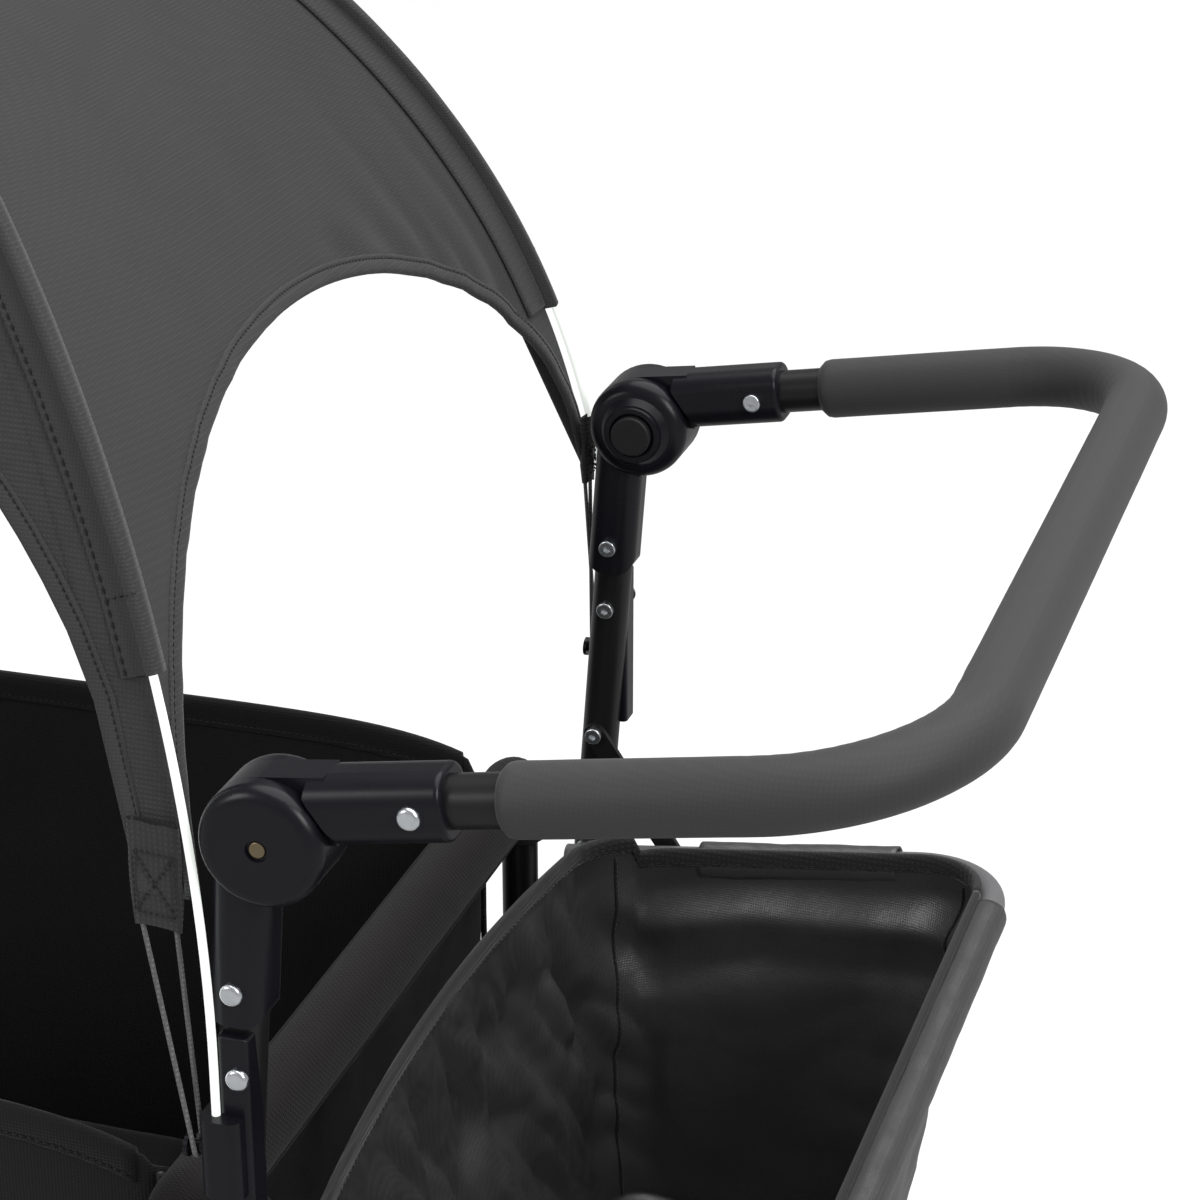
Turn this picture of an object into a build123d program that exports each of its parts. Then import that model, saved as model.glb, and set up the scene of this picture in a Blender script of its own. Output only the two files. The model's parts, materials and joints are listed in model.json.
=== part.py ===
"""Folding children's wagon: tube frame, fabric tub, dome canopy, rotating push bar, drawbar.

Frame: +X towards the push bar (rear), +Y to the left, +Z up. The origin is on the ground
under the middle of the wagon's box. Millimetres and degrees.
"""
from build123d import *
import os
from math import acos, cos, degrees, radians, sin, sqrt, tan

os.makedirs("parts", exist_ok=True)

# ---------------------------------------------------------------- driving dimensions
TUBE_D = 22.0            # main frame tube
TUBE_WALL = 1.5
RUNNING = 0.05           # radial clearance of a running fit

REAR_X = 304.8           # where the rear post axis meets the push-bar arm axis
PIVOT_Z = 800.0
POST_Y = 269.0           # half the width between the posts
POST_LEAN = 4.2          # posts lean outwards at the top
ARM_RISE = 9.8           # push-bar arms rise towards the rear
HUB_OFFSET = 12.0        # hub centre to post axis, and to arm axis
HUB_R = 29.0
CHEEK_IN = 9.4           # cheeks of the fixed hub half, from the hub's mid-plane
CHEEK_OUT = 21.5
HUB_PIN_D = 8.0
POST_SLEEVE_W = 28.0
POST_SLEEVE = 94.0       # length below the hub centre
ARM_SLEEVE_W = 32.0
ARM_SLEEVE_END = 85.5
ARM_REACH = 297.0        # hub foot to the centre of the cross grip
GRIP_BEND = 80.0
GRIP_START = 108.7
PUSH_D = 24.0            # push bar tube
GRIP_D = 33.0
BUTTON_D = 23.0
BUTTON_FACE = 31.0       # from the hub's mid-plane
BUTTON_TRAVEL = 4.0
BUTTON_FLOOR = 12.4

LEG_Y = 245.0            # half the width between the legs of a hoop
HOOP_SET = 60.0          # rear hoop's plane, ahead of the push-bar pivot
HOOP_PITCH = 790.0       # rear hoop to front hoop
RAIL_Z = 561.0
HOOP_BEND = 40.0
CROSS_Z = 248.0
CROSS_D = 18.0
REAR_LEG_Z = 100.0
FRONT_LEG_Z = 188.0
POST_FOOT_Z = 250.0
FRONT_POST_TOP = 705.0

LINK_Z = 196.0           # lower scissor pivots
LINK_SET = 24.0          # scissor pivots, from the leg's axis
BAR_LENGTH = 378.0
BAR_H = 18.0
BAR_T = 8.6
INNER_LAYER = 235.2
OUTER_LAYER = 246.2
RIVET_D = 8.0

REAR_WHEEL_R = 115.0
REAR_WHEEL_Y = 283.5
FRONT_WHEEL_R = 80.0
CASTER_TRAIL = 34.0
CASTER_SET = 32.0
AXLE_D = 10.0

ROD_D = 4.0
ROD_Y = 286.0            # canopy rod feet
ROD_FOOT = 16.0          # rear rod feet, ahead of the push-bar pivot
DOME_Z = 671.0           # centre of the canopy's arches
DOME_H = 525.0
TAB_Z = 755.0            # lowest point of the canopy's corners
CLOTH = 2.4

BAG_Y = 245.5
BAG_TUBE = 16.0
BAG_RISE = 7.7
BAG_REACH = 240.0
BAG_RIM_Z = 541.0

# ---------------------------------------------------------------- derived places
HOOP_X = REAR_X - HOOP_SET
FRONT_X = HOOP_X - HOOP_PITCH
MID_X = (HOOP_X + FRONT_X) / 2
lean = radians(POST_LEAN)
rise = radians(ARM_RISE)
HUB_X = REAR_X + HUB_OFFSET * (cos(rise) - sin(lean)) / cos(lean + rise)
HUB_Z = PIVOT_Z - HUB_OFFSET * (cos(lean) - sin(rise)) / cos(lean + rise)
OPEN_SPAN = (HOOP_PITCH - 2 * LINK_SET) / 2
OPEN_ANGLE = degrees(acos(OPEN_SPAN / BAR_LENGTH))
BAR_RISE = BAR_LENGTH * sin(radians(OPEN_ANGLE))
REAR_PIVOT_X = HOOP_X - LINK_SET
MID_PIVOT_X = REAR_PIVOT_X - OPEN_SPAN
FRONT_PIVOT_X = MID_PIVOT_X - OPEN_SPAN
SLIDER_Z = LINK_Z + BAR_RISE
CASTER_X = FRONT_X - CASTER_SET
FRONT_POST_X = 2 * MID_X - REAR_X
DOME_X = 2 * MID_X - REAR_X + ROD_FOOT
DOME_A = MID_X - DOME_X                      # half length of the dome
MID_PLANE = Plane.YZ.offset(MID_X)

post_up = Vector(sin(radians(POST_LEAN)), 0, cos(radians(POST_LEAN)))
arm_out = Vector(cos(radians(ARM_RISE)), 0, sin(radians(ARM_RISE)))
arm_up = Vector(-sin(radians(ARM_RISE)), 0, cos(radians(ARM_RISE)))


def post_x(z):
    """X of the rear post's axis at height z."""
    return REAR_X + (z - PIVOT_Z) * tan(radians(POST_LEAN))


def front_post_x(z):
    return 2 * MID_X - post_x(z)


def save(piece, name):
    piece.part.label = name
    export_step(piece.part, f"parts/{name}.step")


def round_bar(start, end, outer, inner=0.0):
    """A straight bar or tube between two points."""
    run = Vector(*end) - Vector(*start)
    with BuildPart() as bar:
        with BuildSketch(Plane(origin=start, z_dir=run)):
            Circle(outer / 2)
            if inner:
                Circle(inner / 2, mode=Mode.SUBTRACT)
        extrude(amount=run.length)
    return bar.part


def bent_tube(corners, bend, outer, inner=0.0):
    """A tube along straight runs joined by tangent arcs."""
    with BuildPart() as tube:
        with BuildLine():
            route = FilletPolyline(*corners, radius=bend)
        with BuildSketch(Plane(origin=route @ 0, z_dir=route % 0)):
            Circle(outer / 2)
            if inner:
                Circle(inner / 2, mode=Mode.SUBTRACT)
        sweep()
    return tube.part


def block(low, high, edge=0.0):
    """A box between two corners, with rounded upright edges."""
    size = Vector(*high) - Vector(*low)
    middle = (Vector(*high) + Vector(*low)) / 2
    with BuildPart() as box:
        with BuildSketch(Plane(origin=(middle.X, middle.Y, low[2]))):
            if edge:
                RectangleRounded(size.X, size.Y, edge)
            else:
                Rectangle(size.X, size.Y)
        extrude(amount=size.Z)
    return box.part


def both_sides(part):
    """The same piece on the left and on the right."""
    return [part, mirror(part, about=Plane.XZ)]


def at_front(part):
    return mirror(part, about=MID_PLANE)


# ---------------------------------------------------------------- rear and front hoops
def hoop_blank(x, foot_z):
    """Inverted U of tube with a lower cross tube and the scissor lugs, all welded."""
    inside = -1 if x == HOOP_X else 1
    loop = bent_tube(
        [(x, LEG_Y, foot_z), (x, LEG_Y, RAIL_Z), (x, -LEG_Y, RAIL_Z), (x, -LEG_Y, foot_z)],
        HOOP_BEND, TUBE_D, TUBE_D - 2 * TUBE_WALL)
    reach = LEG_Y - TUBE_D / 2 + 0.7
    cross = round_bar((x, -reach, CROSS_Z), (x, reach, CROSS_Z), CROSS_D, CROSS_D - 2 * TUBE_WALL)
    pivot_x = x + inside * LINK_SET
    near_x = x + inside * (TUBE_D / 2 - 0.6)
    web_x = x + inside * (TUBE_D / 2 + 2)
    tip_x = x + inside * (LINK_SET + 10)
    low_z = LINK_Z - 11
    high_z = LINK_Z + 11
    web_ends = sorted((near_x, web_x))
    plate_ends = sorted((near_x, tip_x))
    web = block((web_ends[0], 231, low_z), (web_ends[1], 259, high_z))
    inner_plate = block((plate_ends[0], 231, low_z), (plate_ends[1], 234.6, high_z))
    outer_plate = block((plate_ends[0], 255.4, low_z), (plate_ends[1], 259, high_z))
    with BuildPart() as lug:
        add(web)
        add(inner_plate)
        add(outer_plate)
        with Locations(Location((pivot_x, LEG_Y, LINK_Z), (90, 0, 0))):
            Cylinder(RIVET_D / 2 + RUNNING, 60, mode=Mode.SUBTRACT)
    return [loop, cross] + both_sides(lug.part)


rear_pieces = hoop_blank(HOOP_X, REAR_LEG_Z)
with BuildPart() as rear_hoop:
    for blank in rear_pieces:
        add(blank)
    with Locations(Location((HOOP_X, 0, REAR_WHEEL_R), (90, 0, 0))):
        Cylinder(AXLE_D / 2 + RUNNING, 2 * LEG_Y + 60, mode=Mode.SUBTRACT)
save(rear_hoop, "rear_hoop")

front_pieces = hoop_blank(FRONT_X, FRONT_LEG_Z)
with BuildPart() as front_hoop:
    for blank in front_pieces:
        add(blank)
save(front_hoop, "front_hoop")

# ---------------------------------------------------------------- posts and their links
POST_TOP_Z = HUB_Z - 40
rear_foot = (post_x(POST_FOOT_Z), POST_Y, POST_FOOT_Z)
rear_top = (post_x(POST_TOP_Z), POST_Y, POST_TOP_Z)
rear_tube = round_bar(rear_foot, rear_top, TUBE_D, TUBE_D - 2 * TUBE_WALL)
with BuildPart() as rear_posts:
    for tube in both_sides(rear_tube):
        add(tube)
save(rear_posts, "rear_posts")

front_foot = (front_post_x(POST_FOOT_Z), POST_Y, POST_FOOT_Z)
front_top = (front_post_x(FRONT_POST_TOP), POST_Y, FRONT_POST_TOP)
front_tube = round_bar(front_foot, front_top, TUBE_D, TUBE_D - 2 * TUBE_WALL)
with BuildPart() as front_posts:
    for tube in both_sides(front_tube):
        add(tube)
save(front_posts, "front_posts")


def link_plate(z):
    """Cast saddle that joins a hoop leg to the post beside it."""
    blank = block((HOOP_X - 2, LEG_Y + 6.6, z - 10), (post_x(z) + 6, POST_Y - 7, z + 10), 1.5)
    with BuildPart() as link:
        add(blank)
        with Locations((HOOP_X, LEG_Y, z)):
            Cylinder(TUBE_D / 2 + 0.01, 60, mode=Mode.SUBTRACT)
        with Locations(Location((post_x(z), POST_Y, z), (0, POST_LEAN, 0))):
            Cylinder(TUBE_D / 2 + 0.01, 60, mode=Mode.SUBTRACT)
    return link.part


links = []
for z in (275.0, 470.0):
    links += both_sides(link_plate(z))
with BuildPart() as post_links:
    for link in links:
        add(link)
save(post_links, "post_links")

front_links = [at_front(link) for link in links]
with BuildPart() as front_post_links:
    for link in front_links:
        add(link)
save(front_post_links, "front_post_links")

# ---------------------------------------------------------------- push-bar hubs
# Hub planes: X rearwards along the tilted part, Y up along it, Z outwards on the right side.
fixed_plane = Plane(
    origin=(HUB_X, -POST_Y, HUB_Z),
    x_dir=(cos(radians(POST_LEAN)), 0, -sin(radians(POST_LEAN))),
    z_dir=(0, -1, 0))
moving_plane = Plane(origin=(HUB_X, -POST_Y, HUB_Z), x_dir=arm_out, z_dir=(0, -1, 0))


def hub_base_right():
    """Fixed half: two cheeks, the sleeve over the post and the stepped boss for the button."""
    sleeve_foot = fixed_plane.from_local_coords((-HUB_OFFSET, -POST_SLEEVE, 0))
    with BuildPart() as base:
        with BuildSketch(Plane(origin=sleeve_foot, x_dir=fixed_plane.x_dir, z_dir=post_up)):
            RectangleRounded(POST_SLEEVE_W, POST_SLEEVE_W + 2, 11)
        extrude(amount=POST_SLEEVE)
        with BuildSketch(fixed_plane.offset(-30)):
            with Locations((-HUB_OFFSET, -POST_SLEEVE + 100)):
                RectangleRounded(POST_SLEEVE_W, 200, 9)
        extrude(amount=60, mode=Mode.INTERSECT)
        with BuildSketch(fixed_plane.offset(-CHEEK_OUT)):
            Circle(HUB_R)
        extrude(amount=2 * CHEEK_OUT)
        fillet(base.faces().sort_by(Axis.Y)[0].edges(), 7)
        fillet(base.faces().sort_by(Axis.Y)[-1].edges(), 8.5)
        with BuildSketch(fixed_plane.offset(-CHEEK_OUT)):
            Circle(HUB_R - 8.5)
        extrude(amount=-4, taper=38)
        with BuildSketch(fixed_plane.offset(-CHEEK_OUT - 4)):
            Circle(BUTTON_D / 2 + 5)
        extrude(amount=-2, taper=15)
        with BuildSketch(fixed_plane.offset(-CHEEK_IN)):
            Circle(HUB_R + 3)
        extrude(amount=2 * CHEEK_IN, mode=Mode.SUBTRACT)
        with BuildSketch(fixed_plane.offset(-40)):
            Circle(BUTTON_D / 2 + RUNNING)
        extrude(amount=40 - BUTTON_FLOOR, mode=Mode.SUBTRACT)
        chamfer(base.faces().sort_by(Axis.Y)[-1].edges().sort_by(SortBy.LENGTH)[0], 1.8)
        with BuildSketch(fixed_plane.offset(-40)):
            Circle(HUB_PIN_D / 2 + RUNNING)
        extrude(amount=80, mode=Mode.SUBTRACT)
        with BuildSketch(fixed_plane.offset(CHEEK_OUT - 1.6)):
            Circle(HUB_PIN_D / 2 + 1.2)
        extrude(amount=10, mode=Mode.SUBTRACT)
        with BuildSketch(Plane(origin=sleeve_foot, x_dir=fixed_plane.x_dir, z_dir=post_up)):
            Circle(TUBE_D / 2 + 0.02)
        extrude(amount=POST_SLEEVE - 39, mode=Mode.SUBTRACT)
    return base.part


def hub_arm_right():
    """Turning half: the disc between the cheeks and the sleeve over the push bar."""
    sleeve_root = moving_plane.from_local_coords((0, HUB_OFFSET, 0))
    with BuildPart() as arm:
        with BuildSketch(Plane(origin=sleeve_root, x_dir=(0, -1, 0), z_dir=arm_out)):
            RectangleRounded(ARM_SLEEVE_W, ARM_SLEEVE_W, 12)
        extrude(amount=ARM_SLEEVE_END)
        fillet(arm.faces().sort_by(Axis.X)[-1].edges(), 2.5)
        for face, depth in ((-40, 40 - CHEEK_IN + 0.2), (CHEEK_IN - 0.2, 30)):
            with BuildSketch(moving_plane.offset(face)):
                Circle(HUB_R + 1.2)
                with BuildLine():
                    Polyline((0, 40), (27, 40), (23, 21), (38, -8), (0, -8), (0, 40))
                make_face()
            extrude(amount=depth, mode=Mode.SUBTRACT)
        with BuildSketch(moving_plane.offset(-CHEEK_IN + 0.2)):
            Circle(HUB_R)
            with BuildLine():
                Polyline((0, 0), (0, HUB_R), (ARM_SLEEVE_W, HUB_OFFSET + ARM_SLEEVE_W / 2 - 0.01),
                         (ARM_SLEEVE_W, HUB_OFFSET - ARM_SLEEVE_W / 2 + 0.01), (0, 0))
            make_face()
        extrude(amount=2 * CHEEK_IN - 0.4)
        with BuildSketch(moving_plane.offset(-40)):
            Circle(HUB_PIN_D / 2 + RUNNING)
        extrude(amount=80, mode=Mode.SUBTRACT)
        with BuildSketch(Plane(
                origin=moving_plane.from_local_coords((36, HUB_OFFSET, 0)),
                x_dir=(0, -1, 0), z_dir=arm_out)):
            Circle(PUSH_D / 2 + 0.02)
        extrude(amount=80, mode=Mode.SUBTRACT)
    return arm.part


bases = both_sides(hub_base_right())
with BuildPart() as hub_bases:
    for part in bases:
        add(part)
save(hub_bases, "hub_bases")
arms = both_sides(hub_arm_right())
with BuildPart() as hub_arms:
    for part in arms:
        add(part)
save(hub_arms, "hub_arms")

# The button's plunger runs in the inner cheek and hides the end of the pin and its spring.
with BuildPart() as button:
    with BuildSketch(fixed_plane.offset(-BUTTON_FACE)):
        Circle(BUTTON_D / 2)
    extrude(amount=BUTTON_FACE - BUTTON_FLOOR - BUTTON_TRAVEL - 0.2)
    fillet(button.faces().sort_by(Axis.Y)[-1].edges(), 1.2)
    with BuildSketch(fixed_plane.offset(-BUTTON_FACE + 3)):
        Circle(BUTTON_D / 2 - 3)
    extrude(amount=40, mode=Mode.SUBTRACT)
button_right = button.part
for part, name in ((button_right, "button_right"), (mirror(button_right, about=Plane.XZ), "button_left")):
    with BuildPart() as push_button:
        add(part)
    save(push_button, name)

# Pins: seen in the recess of the outer cheek, ending inside the button's hollow.
with BuildPart() as pin:
    with BuildSketch(fixed_plane.offset(-BUTTON_FLOOR - 3)):
        Circle(HUB_PIN_D / 2)
    extrude(amount=BUTTON_FLOOR + 3 + CHEEK_OUT - 0.8)
    fillet(pin.faces().sort_by(Axis.Y)[0].edges(), 0.9)
pins = both_sides(pin.part)
with BuildPart() as hub_pins:
    for part in pins:
        add(part)
save(hub_pins, "hub_pins")

SPRING_WIRE = 1.0
SPRING_R = 6.2
SPRING_LENGTH = BUTTON_FACE - 3 - BUTTON_FLOOR
with BuildPart() as spring:
    with BuildLine():
        coil = Helix(pitch=2.9, height=SPRING_LENGTH - 2 * SPRING_WIRE, radius=SPRING_R)
    with BuildSketch(Plane(origin=coil @ 0, z_dir=coil % 0)):
        Circle(SPRING_WIRE / 2)
    sweep(is_frenet=True)
spring_seat = fixed_plane.offset(-BUTTON_FACE + 3 + SPRING_WIRE)
springs = both_sides(spring.part.moved(spring_seat.location))
with BuildPart() as hub_springs:
    for part in springs:
        add(part)
save(hub_springs, "hub_springs")

# ---------------------------------------------------------------- push bar and foam grip
def in_arm(distance, y):
    """A point on the push bar's plane, at a distance from the hub's foot."""
    foot = Vector(HUB_X, 0, HUB_Z) + arm_up * HUB_OFFSET + arm_out * distance
    return (foot.X, y, foot.Z)


def bar_corners(start):
    return [in_arm(start, -POST_Y), in_arm(ARM_REACH, -POST_Y),
            in_arm(ARM_REACH, POST_Y), in_arm(start, POST_Y)]


bar = bent_tube(bar_corners(37), GRIP_BEND, PUSH_D, PUSH_D - 2 * TUBE_WALL)
with BuildPart() as push_bar:
    add(bar)
save(push_bar, "push_bar")

foam = bent_tube(bar_corners(GRIP_START), GRIP_BEND, GRIP_D, PUSH_D)
with BuildPart() as foam_grip:
    add(foam)
save(foam_grip, "foam_grip")

# ---------------------------------------------------------------- canopy rod holders
HOOK_Z = 634.0           # peg for the canopy's elastic loops


def rod_holder_right():
    """Moulded plate on the post's outer face, with a socket that takes the rod's foot."""
    foot_x = post_x(640)
    rod_x = REAR_X - ROD_FOOT
    plate = block((foot_x - 3, -ROD_Y + 0.5, 595), (foot_x + 12, -POST_Y, 692), 3)
    socket = block((rod_x - 7, -ROD_Y - 7, 612), (foot_x + 9, -POST_Y, 652), 6)
    hook = round_bar((rod_x - 6, -ROD_Y, HOOK_Z), (rod_x - 15, -ROD_Y, HOOK_Z), 6)
    catch = round_bar((rod_x - 13, -ROD_Y, HOOK_Z), (rod_x - 15, -ROD_Y, HOOK_Z), 11)
    with BuildPart() as holder:
        add(plate)
        add(socket)
        fillet(holder.edges().filter_by(Axis.Y, reverse=True).group_by(Axis.Z)[-1], 1.5)
        add(hook)
        add(catch)
        with Locations(Location((post_x(640), -POST_Y, 640), (0, POST_LEAN, 0))):
            Cylinder(TUBE_D / 2 + 0.02, 200, mode=Mode.SUBTRACT)
        with Locations((rod_x, -ROD_Y, 660)):
            Cylinder(ROD_D / 2 + RUNNING, 80, mode=Mode.SUBTRACT)
    return holder.part


holder_right = rod_holder_right()
holder_left = mirror(holder_right, about=Plane.XZ)
with BuildPart() as rear_rod_holders:
    add(holder_right)
    add(holder_left)
save(rear_rod_holders, "rear_rod_holders")
with BuildPart() as front_rod_holders:
    add(at_front(holder_right))
    add(at_front(holder_left))
save(front_rod_holders, "front_rod_holders")

# ---------------------------------------------------------------- screws
# Smooth heads show outside, socket heads inside.
def screw_head(centre, out, socket):
    """One head on a flat or a tube's side; out is +1 or -1 along Y."""
    radius = 5.0 if socket else 5.4
    with BuildPart() as head:
        with BuildSketch(Plane(origin=centre, z_dir=(0, out, 0))):
            Circle(radius)
        extrude(amount=3.6 if socket else 3.0)
        fillet(head.faces().sort_by(Axis.Y)[-1 if out > 0 else 0].edges(), 0.8 if socket else 2.2)
        if socket:
            with BuildSketch(Plane(origin=centre, z_dir=(0, out, 0)).offset(3.6)):
                RegularPolygon(2.3, 6)
            extrude(amount=-2.2, mode=Mode.SUBTRACT)
    return head.part


def seated(head, tube):
    """A head with its underside shaped to the tube it presses on."""
    with BuildPart() as piece:
        add(head)
        add(tube, mode=Mode.SUBTRACT)
    return piece.part


post_core = round_bar((post_x(450), POST_Y, 450), (post_x(POST_TOP_Z), POST_Y, POST_TOP_Z), TUBE_D + 0.02)
post_cores = {1: post_core, -1: mirror(post_core, about=Plane.XZ)}
sleeve_point = fixed_plane.from_local_coords((-HUB_OFFSET, -POST_SLEEVE + 17, 0))
sleeve_face = POST_SLEEVE_W / 2 + 1
arm_point = moving_plane.from_local_coords((71, HUB_OFFSET, 0))
holder_z = 672.0
dome_heads = []
socket_heads = []
arm_heads = []
for side in (-1, 1):
    sleeve_out = (sleeve_point.X, side * (POST_Y + sleeve_face), sleeve_point.Z)
    sleeve_in = (sleeve_point.X, side * (POST_Y - sleeve_face), sleeve_point.Z)
    holder_out = (post_x(holder_z) + 4.5, side * (ROD_Y - 0.5), holder_z)
    holder_in = (post_x(holder_z), side * (POST_Y - TUBE_D / 2 + 1), holder_z)
    arm_outer = (arm_point.X, side * (POST_Y + ARM_SLEEVE_W / 2), arm_point.Z)
    arm_inner = (arm_point.X, side * (POST_Y - ARM_SLEEVE_W / 2), arm_point.Z)
    dome_heads.append(screw_head(sleeve_out, side, False))
    dome_heads.append(screw_head(holder_out, side, False))
    socket_heads.append(screw_head(sleeve_in, -side, True))
    socket_heads.append(seated(screw_head(holder_in, -side, True), post_cores[side]))
    arm_heads.append(screw_head(arm_outer, side, False))
    arm_heads.append(screw_head(arm_inner, -side, True))
with BuildPart() as dome_screws:
    for head in dome_heads:
        add(head)
save(dome_screws, "dome_screws")
with BuildPart() as socket_screws:
    for head in socket_heads:
        add(head)
save(socket_screws, "socket_screws")
with BuildPart() as arm_screws:
    for head in arm_heads:
        add(head)
save(arm_screws, "arm_screws")

# ---------------------------------------------------------------- rear bag and its frame
bag_slope = tan(radians(BAG_RISE))
BAG_PIN_Z = PIVOT_Z - 288


def bag_z(x):
    """Height of the bag frame's tube axis at x."""
    return BAG_PIN_Z + (x - post_x(BAG_PIN_Z)) * bag_slope


bag_start = post_x(BAG_PIN_Z) - 8
bag_end = REAR_X + BAG_REACH
bag_tube = bent_tube(
    [(bag_start, -BAG_Y, bag_z(bag_start)), (bag_end, -BAG_Y, bag_z(bag_end)),
     (bag_end, BAG_Y, bag_z(bag_end)), (bag_start, BAG_Y, bag_z(bag_start))],
    55, BAG_TUBE, BAG_TUBE - 2 * TUBE_WALL)
with BuildPart() as bag_frame:
    add(bag_tube)
save(bag_frame, "bag_frame")

STRUT_TOP = (post_x(591), POST_Y - TUBE_D / 2, 591.0)
strut_low_x = REAR_X + 33
STRUT_LOW = (strut_low_x, STRUT_TOP[1], bag_z(strut_low_x))
strut_run = Vector(*STRUT_LOW) - Vector(*STRUT_TOP)
with BuildPart() as strut:
    with BuildSketch(Plane(
            origin=(Vector(*STRUT_TOP) + Vector(*STRUT_LOW)) / 2,
            x_dir=strut_run.normalized(), z_dir=(0, -1, 0))):
        SlotCenterToCenter(strut_run.length, 13)
    extrude(amount=3.4)
struts = both_sides(strut.part)
with BuildPart() as bag_struts:
    for part in struts:
        add(part)
save(bag_struts, "bag_struts")

# Spacers between posts and bag frame, and the heads that hold frame and struts.
arm_core = round_bar(
    (bag_start, BAG_Y, bag_z(bag_start)), (bag_start + 60, BAG_Y, bag_z(bag_start + 60)), BAG_TUBE + 0.02)
bag_cores = {1: arm_core, -1: mirror(arm_core, about=Plane.XZ)}
fixings = []
for side in (-1, 1):
    pin_x = post_x(BAG_PIN_Z)
    spacer = round_bar(
        (pin_x, side * (BAG_Y + BAG_TUBE / 2 - 1), BAG_PIN_Z),
        (pin_x, side * (POST_Y - TUBE_D / 2 + 1), BAG_PIN_Z), 13)
    frame_head = screw_head((pin_x, side * (BAG_Y - BAG_TUBE / 2 + 1), BAG_PIN_Z), -side, True)
    strut_head = screw_head((STRUT_TOP[0], side * (STRUT_TOP[1] - 3.4), STRUT_TOP[2]), -side, True)
    fixings.append(seated(seated(spacer, post_cores[side]), bag_cores[side]))
    fixings.append(seated(frame_head, bag_cores[side]))
    fixings.append(strut_head)
with BuildPart() as bag_fixings:
    for part in fixings:
        add(part)
save(bag_fixings, "bag_fixings")

BAG_FRONT_X = REAR_X - 4
BAG_BACK_X = REAR_X + 228
BAG_BOTTOM_Z = 292.0
BAG_HALF_W = 234.0
BAG_CLOTH = 3.0
with BuildPart() as storage_bag:
    bag_mid = (BAG_FRONT_X + BAG_BACK_X) / 2
    for grow, floor_z, mode in ((0.0, BAG_BOTTOM_Z, Mode.ADD), (BAG_CLOTH, BAG_BOTTOM_Z + BAG_CLOTH, Mode.SUBTRACT)):
        with BuildSketch(Plane(origin=(bag_mid, 0, BAG_RIM_Z + 40))):
            RectangleRounded(BAG_BACK_X - BAG_FRONT_X - 2 * grow, 2 * (BAG_HALF_W - grow), 40 - grow)
        with BuildSketch(Plane(origin=(bag_mid - 15, 0, floor_z))):
            RectangleRounded(BAG_BACK_X - BAG_FRONT_X - 50 - 2 * grow, 2 * (BAG_HALF_W - 20 - grow), 40 - grow)
        loft(mode=mode)
    split(bisect_by=Plane(
        origin=(bag_mid, 0, bag_z(bag_mid) + BAG_TUBE / 2),
        z_dir=(-bag_slope, 0, 1)), keep=Keep.BOTTOM)
save(storage_bag, "storage_bag")

# ---------------------------------------------------------------- fabric tub, floor and rail sleeves
TUB_REAR_X = HOOP_X - 15
TUB_FRONT_X = FRONT_X + 15
TUB_HALF_W = 227.0
TUB_BOTTOM_Z = CROSS_Z + CROSS_D / 2 + 0.3
TUB_RIM_Z = 594.0        # the side panels stand above the rails, the end panels don't
TUB_END_Z = 574.0
BOARD_T = 6.0
MAT_T = 20.0

with BuildPart() as tub_fabric:
    tub_length = TUB_REAR_X - TUB_FRONT_X
    with BuildSketch(Plane(origin=(MID_X, 0, TUB_BOTTOM_Z))):
        RectangleRounded(tub_length, 2 * TUB_HALF_W, 12)
    extrude(amount=TUB_RIM_Z - TUB_BOTTOM_Z)
    with BuildSketch(Plane(origin=(MID_X, 0, TUB_BOTTOM_Z + CLOTH))):
        RectangleRounded(tub_length - 2 * CLOTH, 2 * (TUB_HALF_W - CLOTH), 12 - CLOTH)
    extrude(amount=TUB_RIM_Z, mode=Mode.SUBTRACT)
    with BuildSketch(Plane.XZ):
        for end_x, inward in ((TUB_REAR_X, -1), (TUB_FRONT_X, 1)):
            with BuildLine():
                Polyline((end_x - 5 * inward, TUB_END_Z), (end_x + 16 * inward, TUB_END_Z),
                         (end_x + 80 * inward, TUB_RIM_Z + 1), (end_x - 5 * inward, TUB_RIM_Z + 1),
                         (end_x - 5 * inward, TUB_END_Z))
            make_face()
    extrude(amount=TUB_HALF_W + 5, both=True, mode=Mode.SUBTRACT)
save(tub_fabric, "tub_fabric")

BOARD_GAP = 3.0
board_floor = TUB_BOTTOM_Z + CLOTH
board_room = TUB_REAR_X - TUB_FRONT_X - 2 * CLOTH - 6
board_length = (board_room - 3 * BOARD_GAP) / 4
with BuildPart() as floor_boards:
    with BuildSketch(Plane(origin=(MID_X, 0, board_floor))):
        with GridLocations(board_length + BOARD_GAP, 0, 4, 1):
            RectangleRounded(board_length, 2 * (TUB_HALF_W - CLOTH) - 8, 6)
    extrude(amount=BOARD_T)
save(floor_boards, "floor_boards")

with BuildPart() as floor_mat:
    with BuildSketch(Plane(origin=(MID_X, 0, board_floor + BOARD_T))):
        RectangleRounded(board_room, 2 * (TUB_HALF_W - CLOTH) - 8, 10)
    extrude(amount=MAT_T)
save(floor_mat, "floor_mat")

SLEEVE_D = 29.0
rear_sleeve = round_bar(
    (HOOP_X, -LEG_Y + HOOP_BEND, RAIL_Z), (HOOP_X, LEG_Y - HOOP_BEND, RAIL_Z), SLEEVE_D, TUBE_D)
with BuildPart() as rear_rail_sleeve:
    add(rear_sleeve)
save(rear_rail_sleeve, "rear_rail_sleeve")
with BuildPart() as front_rail_sleeve:
    add(at_front(rear_sleeve))
save(front_rail_sleeve, "front_rail_sleeve")

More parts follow.
